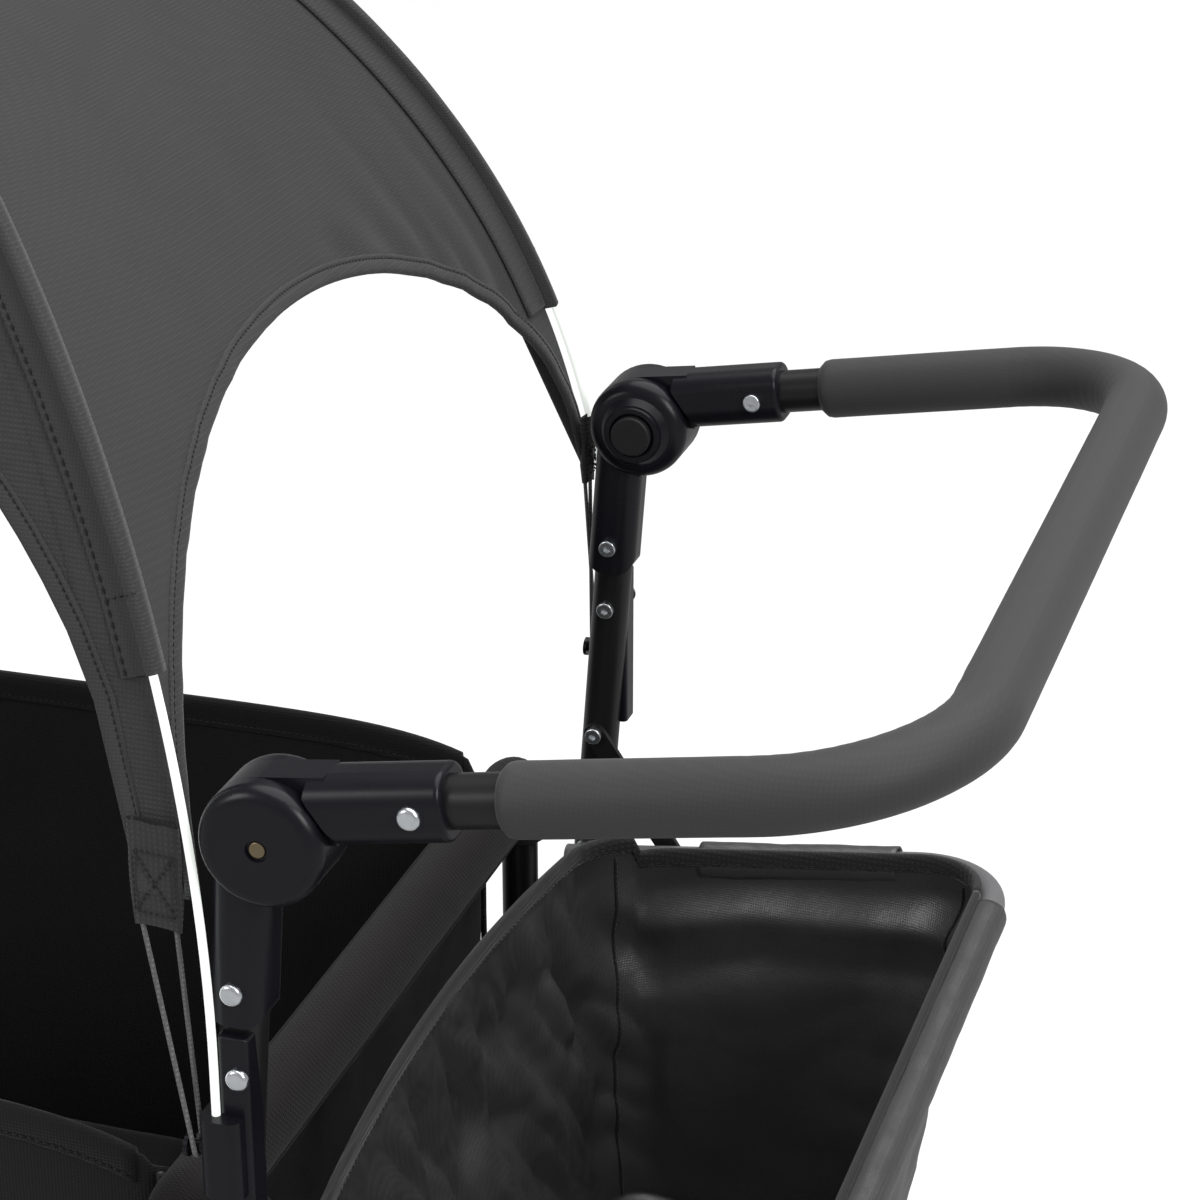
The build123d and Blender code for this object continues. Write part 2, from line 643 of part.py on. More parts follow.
# ---------------------------------------------------------------- canopy
# Two crossing rods, each half an ellipse in its diagonal plane, and four panels whose
# level sections are rectangles with their corners on the rods.
diagonal = sqrt(DOME_A ** 2 + ROD_Y ** 2)
ROD_CROSSING = 4.4       # the second rod passes over the first


def canopy_rod(hand, lift):
    """One rod from a rear foot to the opposite front foot; hand is the rear foot's side."""
    along = Vector(-DOME_A, -hand * ROD_Y, 0).normalized()
    arch_plane = Plane(origin=(MID_X, 0, DOME_Z + lift), x_dir=along, z_dir=along.cross(Vector(0, 0, 1)))
    foot_drop = DOME_Z + lift - 622
    with BuildPart() as rod:
        with BuildLine(arch_plane):
            rear_leg = Line((-diagonal, -foot_drop), (-diagonal, 0))
            crown = ThreePointArc((-diagonal, 0), (0, diagonal), (diagonal, 0))
            front_leg = Line((diagonal, 0), (diagonal, -foot_drop))
        with BuildSketch(Plane(origin=rear_leg @ 0, z_dir=rear_leg % 0)):
            Circle(ROD_D / 2)
        sweep()
    return rod.part


under_rod = canopy_rod(1, 0)
over_rod = canopy_rod(-1, ROD_CROSSING)
with BuildPart() as canopy_rods:
    add(under_rod)
    add(over_rod)
save(canopy_rods, "canopy_rods")


def dome_solid(shrink):
    """Vault where a length-wise and a cross-wise elliptic arch meet."""
    with BuildPart() as vault:
        with BuildSketch(Plane(origin=(MID_X, 0, DOME_Z), x_dir=(1, 0, 0), z_dir=(0, -1, 0))):
            Ellipse(DOME_A - shrink, diagonal - shrink)
        extrude(amount=ROD_Y, both=True)
        with BuildSketch(Plane(origin=(MID_X, 0, DOME_Z), x_dir=(0, 1, 0), z_dir=(1, 0, 0))):
            Ellipse(ROD_Y - shrink, diagonal - shrink)
        extrude(amount=DOME_A, both=True, mode=Mode.INTERSECT)
    return vault.part


CANOPY_SET = 4.0         # cloth inside the rods
REAR_ARCH = (270.0, 182.0)
SIDE_ARCH = (400.0, 290.0)
outer_dome = dome_solid(CANOPY_SET)
inner_dome = dome_solid(CANOPY_SET + CLOTH)
with BuildPart() as canopy_fabric:
    add(outer_dome)
    add(inner_dome, mode=Mode.SUBTRACT)
    with BuildSketch(Plane(origin=(MID_X, 0, TAB_Z), x_dir=(0, 1, 0), z_dir=(1, 0, 0))):
        Ellipse(*REAR_ARCH)
    extrude(amount=DOME_A + 20, both=True, mode=Mode.SUBTRACT)
    with BuildSketch(Plane(origin=(MID_X, 0, TAB_Z), x_dir=(1, 0, 0), z_dir=(0, -1, 0))):
        Ellipse(*SIDE_ARCH)
    extrude(amount=ROD_Y + 20, both=True, mode=Mode.SUBTRACT)
    split(bisect_by=Plane.XY.offset(TAB_Z), keep=Keep.TOP)
save(canopy_fabric, "canopy_fabric")

# Elastic loops: from a corner tab, round the holder's hook and back.
ELASTIC_D = 2.4
hook_x = REAR_X - ROD_FOOT - 9.6
loop_side = 3 + ELASTIC_D / 2 + 0.5
loop_z = HOOK_Z - 3 - ELASTIC_D / 2 - 0.3
elastic = bent_tube(
    [(hook_x - 15, ROD_Y - 3, TAB_Z - 1), (hook_x, ROD_Y + loop_side, loop_z),
     (hook_x, ROD_Y - loop_side, loop_z), (hook_x - 2, ROD_Y - 6, TAB_Z - 1)],
    4.2, ELASTIC_D)
elastics = both_sides(elastic)
elastics += [at_front(loop) for loop in elastics]
with BuildPart() as canopy_elastics:
    for loop in elastics:
        add(loop)
save(canopy_elastics, "canopy_elastics")

# ---------------------------------------------------------------- scissor bars
def rivet(x, z, low_y, high_y):
    """A headed rivet across both layers of bars, on the left."""
    shank = round_bar((x, low_y, z), (x, high_y, z), RIVET_D)
    inner_head = round_bar((x, low_y - 2, z), (x, low_y, z), RIVET_D + 5)
    outer_head = round_bar((x, high_y, z), (x, high_y + 2, z), RIVET_D + 5)
    with BuildPart() as piece:
        add(shank)
        add(inner_head)
        add(outer_head)
    return piece.part


def scissor_bar(start_x, start_z, end_x, end_z, layer_y, name, stud=None):
    """A pair of flat bars, left and right, with an eye at each end and one in the middle."""
    run = Vector(end_x - start_x, 0, end_z - start_z)
    middle = ((start_x + end_x) / 2, layer_y, (start_z + end_z) / 2)
    with BuildPart() as left_bar:
        with BuildSketch(Plane(origin=middle, x_dir=run.normalized(), z_dir=(0, -1, 0))):
            SlotCenterToCenter(run.length, BAR_H)
            with Locations((-run.length / 2, 0), (0, 0), (run.length / 2, 0)):
                Circle(RIVET_D / 2 + RUNNING, mode=Mode.SUBTRACT)
        extrude(amount=-BAR_T)
        fillet(left_bar.edges().filter_by(GeomType.LINE), 1.6)
        if stud:
            add(stud)
    with BuildPart() as bars:
        for part in both_sides(left_bar.part):
            add(part)
    save(bars, name)


BAR_FACE_IN = INNER_LAYER - 0.3
BAR_FACE_OUT = OUTER_LAYER + BAR_T + 0.3
half_x = OPEN_SPAN / 2
CENTRE_Z = (LINK_Z + SLIDER_Z) / 2

# The lower middle pivot is a stud welded into the second bar.
with BuildPart() as welded_stud:
    add(rivet(MID_PIVOT_X, LINK_Z, BAR_FACE_IN, BAR_FACE_OUT))
    with Locations(Location((MID_PIVOT_X, OUTER_LAYER + BAR_T / 2, LINK_Z), (90, 0, 0))):
        Cylinder(RIVET_D / 2 + 0.5, BAR_T)
mid_stud = welded_stud.part
scissor_bar(REAR_PIVOT_X, LINK_Z, MID_PIVOT_X, SLIDER_Z, INNER_LAYER, "scissor_bars_a")
scissor_bar(REAR_PIVOT_X, SLIDER_Z, MID_PIVOT_X, LINK_Z, OUTER_LAYER, "scissor_bars_b", mid_stud)
scissor_bar(MID_PIVOT_X, SLIDER_Z, FRONT_PIVOT_X, LINK_Z, OUTER_LAYER, "scissor_bars_c")
scissor_bar(MID_PIVOT_X, LINK_Z, FRONT_PIVOT_X, SLIDER_Z, INNER_LAYER, "scissor_bars_d")

rivet_sets = {
    "rivets_a": [rivet(REAR_PIVOT_X, LINK_Z, 230.8, 259.2),
                 rivet(REAR_PIVOT_X - half_x, CENTRE_Z, BAR_FACE_IN, BAR_FACE_OUT),
                 rivet(MID_PIVOT_X, SLIDER_Z, BAR_FACE_IN, BAR_FACE_OUT)],
    "rivets_c": [rivet(FRONT_PIVOT_X, LINK_Z, 230.8, 259.2),
                 rivet(FRONT_PIVOT_X + half_x, CENTRE_Z, BAR_FACE_IN, BAR_FACE_OUT)],
}
for name, lefts in rivet_sets.items():
    pairs = [part for left in lefts for part in both_sides(left)]
    with BuildPart() as rivets:
        for part in pairs:
            add(part)
    save(rivets, name)


def slider_left(x, inside, low_y, high_y):
    """C-shaped collar that runs on a hoop leg, with a stub for the scissor bar."""
    pivot_x = x + inside * LINK_SET
    ends = sorted((x + inside * 10, pivot_x + inside * 9))
    lug = block((ends[0], low_y, SLIDER_Z - 9), (ends[1], high_y, SLIDER_Z + 9), 2)
    stub_ends = (high_y, BAR_FACE_OUT + 0.5) if low_y < LEG_Y - 5 else (low_y, BAR_FACE_IN - 0.5)
    stub = round_bar((pivot_x, stub_ends[0], SLIDER_Z), (pivot_x, stub_ends[1], SLIDER_Z), RIVET_D)
    with BuildPart() as slider:
        with Locations((x, LEG_Y, SLIDER_Z)):
            Cylinder(14.6, 20)
        add(lug)
        with Locations((x, LEG_Y, SLIDER_Z)):
            Cylinder(TUBE_D / 2 + 0.35, 40, mode=Mode.SUBTRACT)
        with Locations((x, LEG_Y + 15.5, SLIDER_Z)):
            Box(60, 21, 40, mode=Mode.SUBTRACT)
        add(stub)
    return slider.part


for x, inside, low_y, high_y, name in (
        (HOOP_X, -1, INNER_LAYER, 244.0, "sliders_rear"),
        (FRONT_X, 1, 246.2, 254.4, "sliders_front")):
    left = slider_left(x, inside, low_y, high_y)
    with BuildPart() as sliders:
        for part in both_sides(left):
            add(part)
    save(sliders, name)

# ---------------------------------------------------------------- rear axle, wheels and brake
with BuildPart() as rear_axle:
    with Locations(Location((HOOP_X, 0, REAR_WHEEL_R), (90, 0, 0))):
        Cylinder(AXLE_D / 2, 2 * 309)
save(rear_axle, "rear_axle")

with BuildPart() as axle_nut:
    with BuildSketch(Plane(origin=(HOOP_X, 306, REAR_WHEEL_R), z_dir=(0, 1, 0))):
        Circle(10)
    extrude(amount=7)
    fillet(axle_nut.faces().sort_by(Axis.Y)[-1].edges(), 4)
    with BuildSketch(Plane(origin=(HOOP_X, 306, REAR_WHEEL_R), z_dir=(0, 1, 0))):
        Circle(AXLE_D / 2 + 0.01)
    extrude(amount=3.2, mode=Mode.SUBTRACT)
nuts = both_sides(axle_nut.part)
with BuildPart() as axle_nuts:
    for part in nuts:
        add(part)
save(axle_nuts, "axle_nuts")


def wheel_rim(x, y, z, radius, width, hub_ends, bore, spokes):
    """Moulded rim: barrel, hub and radial spokes. Axis along Y."""
    mid = Plane(origin=(x, y, z), x_dir=(1, 0, 0), z_dir=(0, -1, 0))
    barrel_r = radius * 0.82
    with BuildPart() as rim:
        with BuildSketch(mid.offset(-width / 2)):
            Circle(barrel_r)
            Circle(barrel_r - 6, mode=Mode.SUBTRACT)
        extrude(amount=width)
        with BuildSketch(mid.offset(-3)):
            Circle(barrel_r - 3)
            Circle(14, mode=Mode.SUBTRACT)
            with PolarLocations((barrel_r - 6 + 15) / 2 + 2, spokes):
                Ellipse((barrel_r - 40) / 2, barrel_r * 0.24, mode=Mode.SUBTRACT)
        extrude(amount=6)
        with BuildSketch(mid.offset(-hub_ends[1])):
            Circle(15)
        extrude(amount=hub_ends[1] - hub_ends[0])
        with BuildSketch(mid.offset(-80)):
            Circle(bore / 2 + RUNNING)
        extrude(amount=160, mode=Mode.SUBTRACT)
    return rim.part


def wheel_tyre(x, y, z, radius, width, lugs):
    """Soft tyre with a crowned tread and cross grooves. Axis along Y."""
    inner_r = radius * 0.82
    section = Plane(origin=(x, y, z), x_dir=(0, 1, 0), z_dir=(1, 0, 0))
    with BuildPart() as tyre:
        with BuildSketch(section):
            with BuildLine():
                inner = Line((-width / 2 + 1, inner_r), (width / 2 - 1, inner_r))
                Line(inner @ 1, (width / 2, inner_r + 5))
                Spline((width / 2, inner_r + 5), (width / 3, radius - 2.4), (0, radius),
                       (-width / 3, radius - 2.4), (-width / 2, inner_r + 5))
                Line((-width / 2, inner_r + 5), inner @ 0)
            make_face()
        revolve(axis=Axis((x, y, z), (0, 1, 0)))
        with BuildSketch(Plane(origin=(x, y + width / 2, z), x_dir=(1, 0, 0), z_dir=(0, 1, 0))):
            with PolarLocations(radius - 0.2, lugs):
                Rectangle(3.6, 3.2)
        extrude(amount=-width * 0.26, mode=Mode.SUBTRACT)
        with BuildSketch(Plane(origin=(x, y - width / 2, z), x_dir=(1, 0, 0), z_dir=(0, 1, 0))):
            with PolarLocations(radius - 0.2, lugs):
                Rectangle(3.6, 3.2)
        extrude(amount=width * 0.26, mode=Mode.SUBTRACT)
    return tyre.part


rear_rim = wheel_rim(HOOP_X, REAR_WHEEL_Y, REAR_WHEEL_R, REAR_WHEEL_R, 36, (-26.5, 21.5), AXLE_D, 6)
rear_tread = wheel_tyre(HOOP_X, REAR_WHEEL_Y, REAR_WHEEL_R, REAR_WHEEL_R, 42, 30)
for part, name in (
        (rear_rim, "rear_wheel_left"), (mirror(rear_rim, about=Plane.XZ), "rear_wheel_right"),
        (rear_tread, "rear_tyre_left"), (mirror(rear_tread, about=Plane.XZ), "rear_tyre_right")):
    with BuildPart() as wheel_piece:
        add(part)
    save(wheel_piece, name)

# The brake: a cross bar that turns in two saddles on the legs, with a pedal in the middle.
BRAKE_X = HOOP_X + 33
BRAKE_Z = 180.0
BRAKE_D = 12.0
brake_rod = round_bar((BRAKE_X, -252, BRAKE_Z), (BRAKE_X, 252, BRAKE_Z), BRAKE_D)
pawl = round_bar((BRAKE_X - 8, 246, BRAKE_Z + 10), (BRAKE_X - 8, 260, BRAKE_Z + 10), 8)
pawl_arm = block((BRAKE_X - 12, 245, BRAKE_Z - 4), (BRAKE_X + 2, 251, BRAKE_Z + 14))
with BuildPart() as brake_bar:
    add(brake_rod)
    for part in both_sides(pawl) + both_sides(pawl_arm):
        add(part)
save(brake_bar, "brake_bar")

with BuildPart() as brake_pedal:
    with BuildSketch(Plane(origin=(BRAKE_X, 0, BRAKE_Z), x_dir=(1, 0, 0), z_dir=(0, -1, 0))):
        with BuildLine():
            Polyline((-9, 8), (8, 9), (52, 22), (58, 17), (10, -9), (-9, -9), (-9, 8))
        make_face()
    extrude(amount=45, both=True)
    fillet(brake_pedal.edges().filter_by(Axis.Y), 3)
    fillet(brake_pedal.faces().sort_by(Axis.X)[-1].edges(), 1.2)
    with Locations(Location((BRAKE_X, 0, BRAKE_Z), (90, 0, 0))):
        Cylinder(BRAKE_D / 2 + 0.02, 120, mode=Mode.SUBTRACT)
save(brake_pedal, "brake_pedal")


def brake_saddle():
    """Bracket on a rear leg with the bearing of the brake bar."""
    blank = block((HOOP_X, LEG_Y - 20, BRAKE_Z - 11), (BRAKE_X + 11, LEG_Y - 4, BRAKE_Z + 11), 2)
    with BuildPart() as saddle:
        add(blank)
        with Locations((HOOP_X, LEG_Y, BRAKE_Z)):
            Cylinder(TUBE_D / 2 + 0.02, 60, mode=Mode.SUBTRACT)
        with Locations(Location((BRAKE_X, LEG_Y, BRAKE_Z), (90, 0, 0))):
            Cylinder(BRAKE_D / 2 + RUNNING, 60, mode=Mode.SUBTRACT)
    return saddle.part


saddles = both_sides(brake_saddle())
with BuildPart() as brake_saddles:
    for part in saddles:
        add(part)
save(brake_saddles, "brake_saddles")

# ---------------------------------------------------------------- front casters
CUP_LOW = 184.0
CUP_HIGH = 218.0
STEM_D = 12.0
with BuildPart() as cup:
    with BuildSketch(Plane(origin=(CASTER_X, LEG_Y, CUP_LOW))):
        Circle(19)
        with Locations((CASTER_SET / 2, 0)):
            Rectangle(CASTER_SET, 30)
    extrude(amount=CUP_HIGH - CUP_LOW)
    fillet(cup.edges().filter_by(GeomType.CIRCLE).group_by(Axis.Z)[-1], 2)
    with Locations((FRONT_X, LEG_Y, CUP_LOW)):
        Cylinder(TUBE_D / 2 + 0.02, 120, mode=Mode.SUBTRACT)
    with Locations((CASTER_X, LEG_Y, CUP_LOW - 1)):
        Cylinder(STEM_D / 2 + RUNNING, 31, align=(Align.CENTER, Align.CENTER, Align.MIN), mode=Mode.SUBTRACT)
cups = both_sides(cup.part)
with BuildPart() as caster_housings:
    for part in cups:
        add(part)
save(caster_housings, "caster_housings")

CROWN_TOP = CUP_LOW - 1
CROWN_LOW = FRONT_WHEEL_R * 2 + 6
WHEEL_X = CASTER_X + CASTER_TRAIL
FORK_IN = 20.0
with BuildPart() as fork:
    with BuildSketch(Plane(origin=(CASTER_X, LEG_Y, CROWN_LOW))):
        Circle(20)
        with Locations((CASTER_TRAIL / 2 + 2, 0)):
            Rectangle(CASTER_TRAIL + 4, 2 * FORK_IN + 8)
    extrude(amount=CROWN_TOP - CROWN_LOW)
    for y in (-FORK_IN - 4, FORK_IN):
        with BuildSketch(Plane(origin=(WHEEL_X, LEG_Y + y, FRONT_WHEEL_R), x_dir=(1, 0, 0), z_dir=(0, -1, 0))):
            Circle(13)
            with BuildLine():
                Polyline((-13, 0), (13, 0), (6, CROWN_LOW - FRONT_WHEEL_R + 2),
                         (-26, CROWN_LOW - FRONT_WHEEL_R + 2), (-13, 0))
            make_face()
        extrude(amount=-4)
    with Locations((CASTER_X, LEG_Y, CROWN_TOP - 1)):
        Cylinder(STEM_D / 2, 30, align=(Align.CENTER, Align.CENTER, Align.MIN))
    with Locations(Location((WHEEL_X, LEG_Y, FRONT_WHEEL_R), (90, 0, 0))):
        Cylinder(AXLE_D / 2, 2 * FORK_IN + 14)
for part, name in ((fork.part, "caster_fork_left"), (mirror(fork.part, about=Plane.XZ), "caster_fork_right")):
    with BuildPart() as caster_fork:
        add(part)
    save(caster_fork, name)

front_rim = wheel_rim(WHEEL_X, LEG_Y, FRONT_WHEEL_R, FRONT_WHEEL_R, 30, (-18.5, 18.5), AXLE_D, 5)
front_tread = wheel_tyre(WHEEL_X, LEG_Y, FRONT_WHEEL_R, FRONT_WHEEL_R, 34, 24)
for part, name in (
        (front_rim, "front_wheel_left"), (mirror(front_rim, about=Plane.XZ), "front_wheel_right"),
        (front_tread, "front_tyre_left"), (mirror(front_tread, about=Plane.XZ), "front_tyre_right")):
    with BuildPart() as wheel_piece:
        add(part)
    save(wheel_piece, name)

# ---------------------------------------------------------------- drawbar
DRAW_X = FRONT_X - 31
DRAW_Z = CROSS_Z
DRAW_D = 20.0
DRAW_INNER = 15.0
DRAW_TOP = 640.0
draw_cheek_in = DRAW_D / 2 + 1
with BuildPart() as drawbar_mount:
    for y in (-draw_cheek_in - 4, draw_cheek_in):
        with BuildSketch(Plane(origin=(DRAW_X, y, DRAW_Z), x_dir=(1, 0, 0), z_dir=(0, -1, 0))):
            Circle(13)
            with Locations((14, 0)):
                Rectangle(28, 26)
        extrude(amount=-4)
    with BuildSketch(Plane(origin=(DRAW_X + 22, 0, DRAW_Z - 13))):
        Rectangle(6, 2 * draw_cheek_in + 8)
    extrude(amount=26)
    with Locations(Location((FRONT_X, 0, DRAW_Z), (90, 0, 0))):
        Cylinder(CROSS_D / 2 + 0.02, 80, mode=Mode.SUBTRACT)
    with Locations(Location((DRAW_X, 0, DRAW_Z), (90, 0, 0))):
        Cylinder(4, 2 * draw_cheek_in + 12)
save(drawbar_mount, "drawbar_mount")

with BuildPart() as drawbar_tube:
    with BuildSketch(Plane(origin=(DRAW_X, 0, DRAW_Z - 12))):
        Circle(DRAW_D / 2)
        Circle(DRAW_INNER / 2 + 0.1, mode=Mode.SUBTRACT)
    extrude(amount=DRAW_TOP - DRAW_Z + 12)
    with BuildSketch(Plane(origin=(DRAW_X, 0, DRAW_Z - 12))):
        Circle(DRAW_D / 2)
    extrude(amount=26)
    with Locations(Location((DRAW_X, 0, DRAW_Z), (90, 0, 0))):
        Cylinder(4 + RUNNING, 60, mode=Mode.SUBTRACT)
save(drawbar_tube, "drawbar_tube")

with BuildPart() as drawbar_collar:
    with BuildSketch(Plane(origin=(DRAW_X, 0, DRAW_TOP - 26))):
        Circle(DRAW_D / 2 + 3)
        Circle(DRAW_D / 2, mode=Mode.SUBTRACT)
    extrude(amount=26)
    with BuildSketch(Plane(origin=(DRAW_X, 0, DRAW_TOP))):
        Circle(DRAW_D / 2 + 3)
        Circle(DRAW_INNER / 2 + 0.1, mode=Mode.SUBTRACT)
    extrude(amount=8)
    fillet(drawbar_collar.faces().sort_by(Axis.Z)[-1].edges(), 1.4)
save(drawbar_collar, "drawbar_collar")

GRIP_Z = 730.0
with BuildPart() as drawbar_slide:
    with BuildSketch(Plane(origin=(DRAW_X, 0, 300))):
        Circle(DRAW_INNER / 2)
        Circle(DRAW_INNER / 2 - TUBE_WALL, mode=Mode.SUBTRACT)
    extrude(amount=GRIP_Z - 300)
save(drawbar_slide, "drawbar_slide")

with BuildPart() as drawbar_grip:
    with BuildSketch(Plane(origin=(DRAW_X, 0, GRIP_Z + 36), x_dir=(0, 1, 0), z_dir=(1, 0, 0))):
        Ellipse(66, 36)
        Ellipse(48, 20, mode=Mode.SUBTRACT)
    extrude(amount=9, both=True)
    fillet(drawbar_grip.edges(), 5)
    with BuildSketch(Plane(origin=(DRAW_X, 0, GRIP_Z - 30))):
        Circle(DRAW_INNER / 2 + 4.5)
    extrude(amount=34)
    with BuildSketch(Plane(origin=(DRAW_X, 0, GRIP_Z - 30))):
        Circle(DRAW_INNER / 2 + 0.02)
    extrude(amount=30, mode=Mode.SUBTRACT)
save(drawbar_grip, "drawbar_grip")

print("open angle", round(OPEN_ANGLE, 3), "slider z", round(SLIDER_Z, 2), "pivots x",
      round(REAR_PIVOT_X, 2), round(MID_PIVOT_X, 2), round(FRONT_PIVOT_X, 2))
print("hub", round(HUB_X, 2), HUB_Z, "casters x", round(CASTER_X, 2), "wheel x", round(WHEEL_X, 2))
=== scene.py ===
"""Looks of the folding children's wagon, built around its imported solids. Metres, same frame."""

import json
from math import asin, copysign, cos, exp, hypot, pi, radians, remainder, sin, tan

import bmesh
import bpy
import numpy as np
from mathutils import Matrix, Vector, noise


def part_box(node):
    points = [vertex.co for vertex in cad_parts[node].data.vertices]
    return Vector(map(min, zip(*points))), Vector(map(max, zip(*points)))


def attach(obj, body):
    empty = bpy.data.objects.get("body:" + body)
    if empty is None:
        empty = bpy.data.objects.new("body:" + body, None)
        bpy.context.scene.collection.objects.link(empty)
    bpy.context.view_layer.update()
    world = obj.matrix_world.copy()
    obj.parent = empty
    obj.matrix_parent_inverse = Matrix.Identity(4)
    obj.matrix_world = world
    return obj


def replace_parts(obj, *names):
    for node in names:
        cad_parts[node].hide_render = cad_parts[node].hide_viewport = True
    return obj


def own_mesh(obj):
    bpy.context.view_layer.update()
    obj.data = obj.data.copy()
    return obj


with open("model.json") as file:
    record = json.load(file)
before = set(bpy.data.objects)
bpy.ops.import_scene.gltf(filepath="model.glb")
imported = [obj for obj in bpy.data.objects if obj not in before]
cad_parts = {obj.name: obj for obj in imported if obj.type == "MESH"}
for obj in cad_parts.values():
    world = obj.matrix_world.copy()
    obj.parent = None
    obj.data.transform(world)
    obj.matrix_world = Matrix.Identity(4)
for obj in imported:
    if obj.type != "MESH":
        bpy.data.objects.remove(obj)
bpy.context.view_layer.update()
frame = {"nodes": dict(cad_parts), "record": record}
NODES = frame["nodes"]

# ---- places, in metres
REAR_X = 0.3048          # where the rear post axis meets the push-bar arm axis
PIVOT_Z = 0.800          # height of the push handle's hubs
HOOP_X = REAR_X - 0.060  # rear hoop
FRONT_X = HOOP_X - 0.790  # front hoop
MID_X = (HOOP_X + FRONT_X) / 2
LEG_Y = 0.245            # half the distance between a hoop's legs
RAIL_Z = 0.561           # axis of the top rails
ROD_Y = 0.286            # half the distance between the canopy rods' feet
DOME_A = MID_X - (2 * MID_X - REAR_X + 0.016)   # half the distance between front and rear rod feet
DOME_Z = 0.671           # centre of the rods' arcs
DIAGONAL = hypot(DOME_A, ROD_Y)
TAB_Z = 0.755            # lower corners of the canopy
ROD_CROSSING = 0.0044    # one rod passes this much above the other
CLOTH_SET = 0.0042       # cloth inside the rods
SLEEVE_FROM = 0.855      # the rod sleeves end at this height
ARM_RISE = radians(9.8)
EDGE_SPLIT = 0.999       # a wall's outward direction is this square, or it is a corner


# ---- small tools
def wave(p, size, seed=0.0):
    """Smooth noise of about one bump per size, from -1 to 1."""
    q = Vector(p) / size
    return noise.noise(q + Vector((seed * 7.3, seed * 3.1, seed * 5.7)))


def crease(p, size, seed=0.0):
    """Ridged noise: sharp creases between soft hollows, from 0 to 1."""
    return 1 - min(1.0, 2.2 * abs(wave(p, size, seed)))


def link(name, mesh, material=None, smooth=True):
    obj = bpy.data.objects.new(name, mesh)
    bpy.context.scene.collection.objects.link(obj)
    if material is not None:
        mesh.materials.append(material)
    if smooth:
        mesh.polygons.foreach_set("use_smooth", [True] * len(mesh.polygons))
    return obj


def thicken(piece, thick):
    """Adds the cloth's thickness behind its face."""
    solid = piece.modifiers.new("thickness", "SOLIDIFY")
    solid.thickness = thick
    solid.offset = -1.0


def cap(piece, *outlines):
    """Closes a piece with a face over each outline of vertex numbers, and turns all its faces outwards."""
    bm = bmesh.new()
    bm.from_mesh(piece.data)
    bm.verts.ensure_lookup_table()
    for outline in outlines:
        bm.faces.new([bm.verts[k] for k in outline])
    bmesh.ops.recalc_face_normals(bm, faces=bm.faces)
    bm.to_mesh(piece.data)
    bm.free()


def ride_as(piece, body):
    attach(piece, body)
    return piece


def grid(name, rows, material, close_cols=False, thick=0.0):
    """A sheet through rows of points; thick adds the cloth's thickness."""
    n, m = len(rows), len(rows[0])
    verts = [tuple(p) for row in rows for p in row]
    faces = []
    for i in range(n - 1):
        for j in range(m if close_cols else m - 1):
            a, b = i * m + j, i * m + (j + 1) % m
            c, d = (i + 1) * m + (j + 1) % m, (i + 1) * m + j
            faces.append((a, b, c, d))
    mesh = bpy.data.meshes.new(name)
    mesh.from_pydata(verts, [], faces)
    mesh.validate()
    obj = link(name, mesh, material)
    if thick:
        thicken(obj, thick)
    return obj


def frames_along(points, up):
    """Side and normal at each point of a route."""
    n = len(points)
    out = []
    for i in range(n):
        a, b = points[max(0, i - 1)], points[min(n - 1, i + 1)]
        t = (b - a).normalized()
        side = t.cross(up)
        if side.length < 1e-6:
            side = t.cross(Vector((0, 1, 0)))
        side.normalize()
        out.append((side, side.cross(t).normalized()))
    return out


def tube(name, points, radius, material, sides=16, shape=None, up=Vector((0, 0, 1)), caps=True):
    """A swept tube. shape(i, angle) scales the radius for wrinkles."""
    rings = []
    for i, (p, (side, normal)) in enumerate(zip(points, frames_along(points, up))):
        ring = []
        for k in range(sides):
            angle = 2 * pi * k / sides
            r = radius * (shape(i, angle) if shape else 1.0)
            ring.append(p + side * (r * cos(angle)) + normal * (r * sin(angle)))
        rings.append(ring)
    obj = grid(name, rings, material, close_cols=True)
    if caps:
        last = (len(points) - 1) * sides
        cap(obj, range(sides), reversed(range(last, last + sides)))
    return obj


def strip(name, edges, profile, material):
    """Sweeps a closed profile of (along, out) pairs; edges is a list of (point, along, out)."""
    obj = grid(name, [[p + a * u + o * v for u, v in profile] for p, a, o in edges], material, close_cols=True)
    m = len(profile)
    last = (len(edges) - 1) * m
    cap(obj, range(m), reversed(range(last, last + m)))
    return obj


# Each ring of a stitch: place along it, lift, and size, as shares of its length and radius.
STITCH_RINGS = ((-0.5, -0.6, 0.35), (-0.3, 0.35, 1.0), (0.0, 0.75, 1.05), (0.3, 0.35, 1.0), (0.5, -0.6, 0.35))


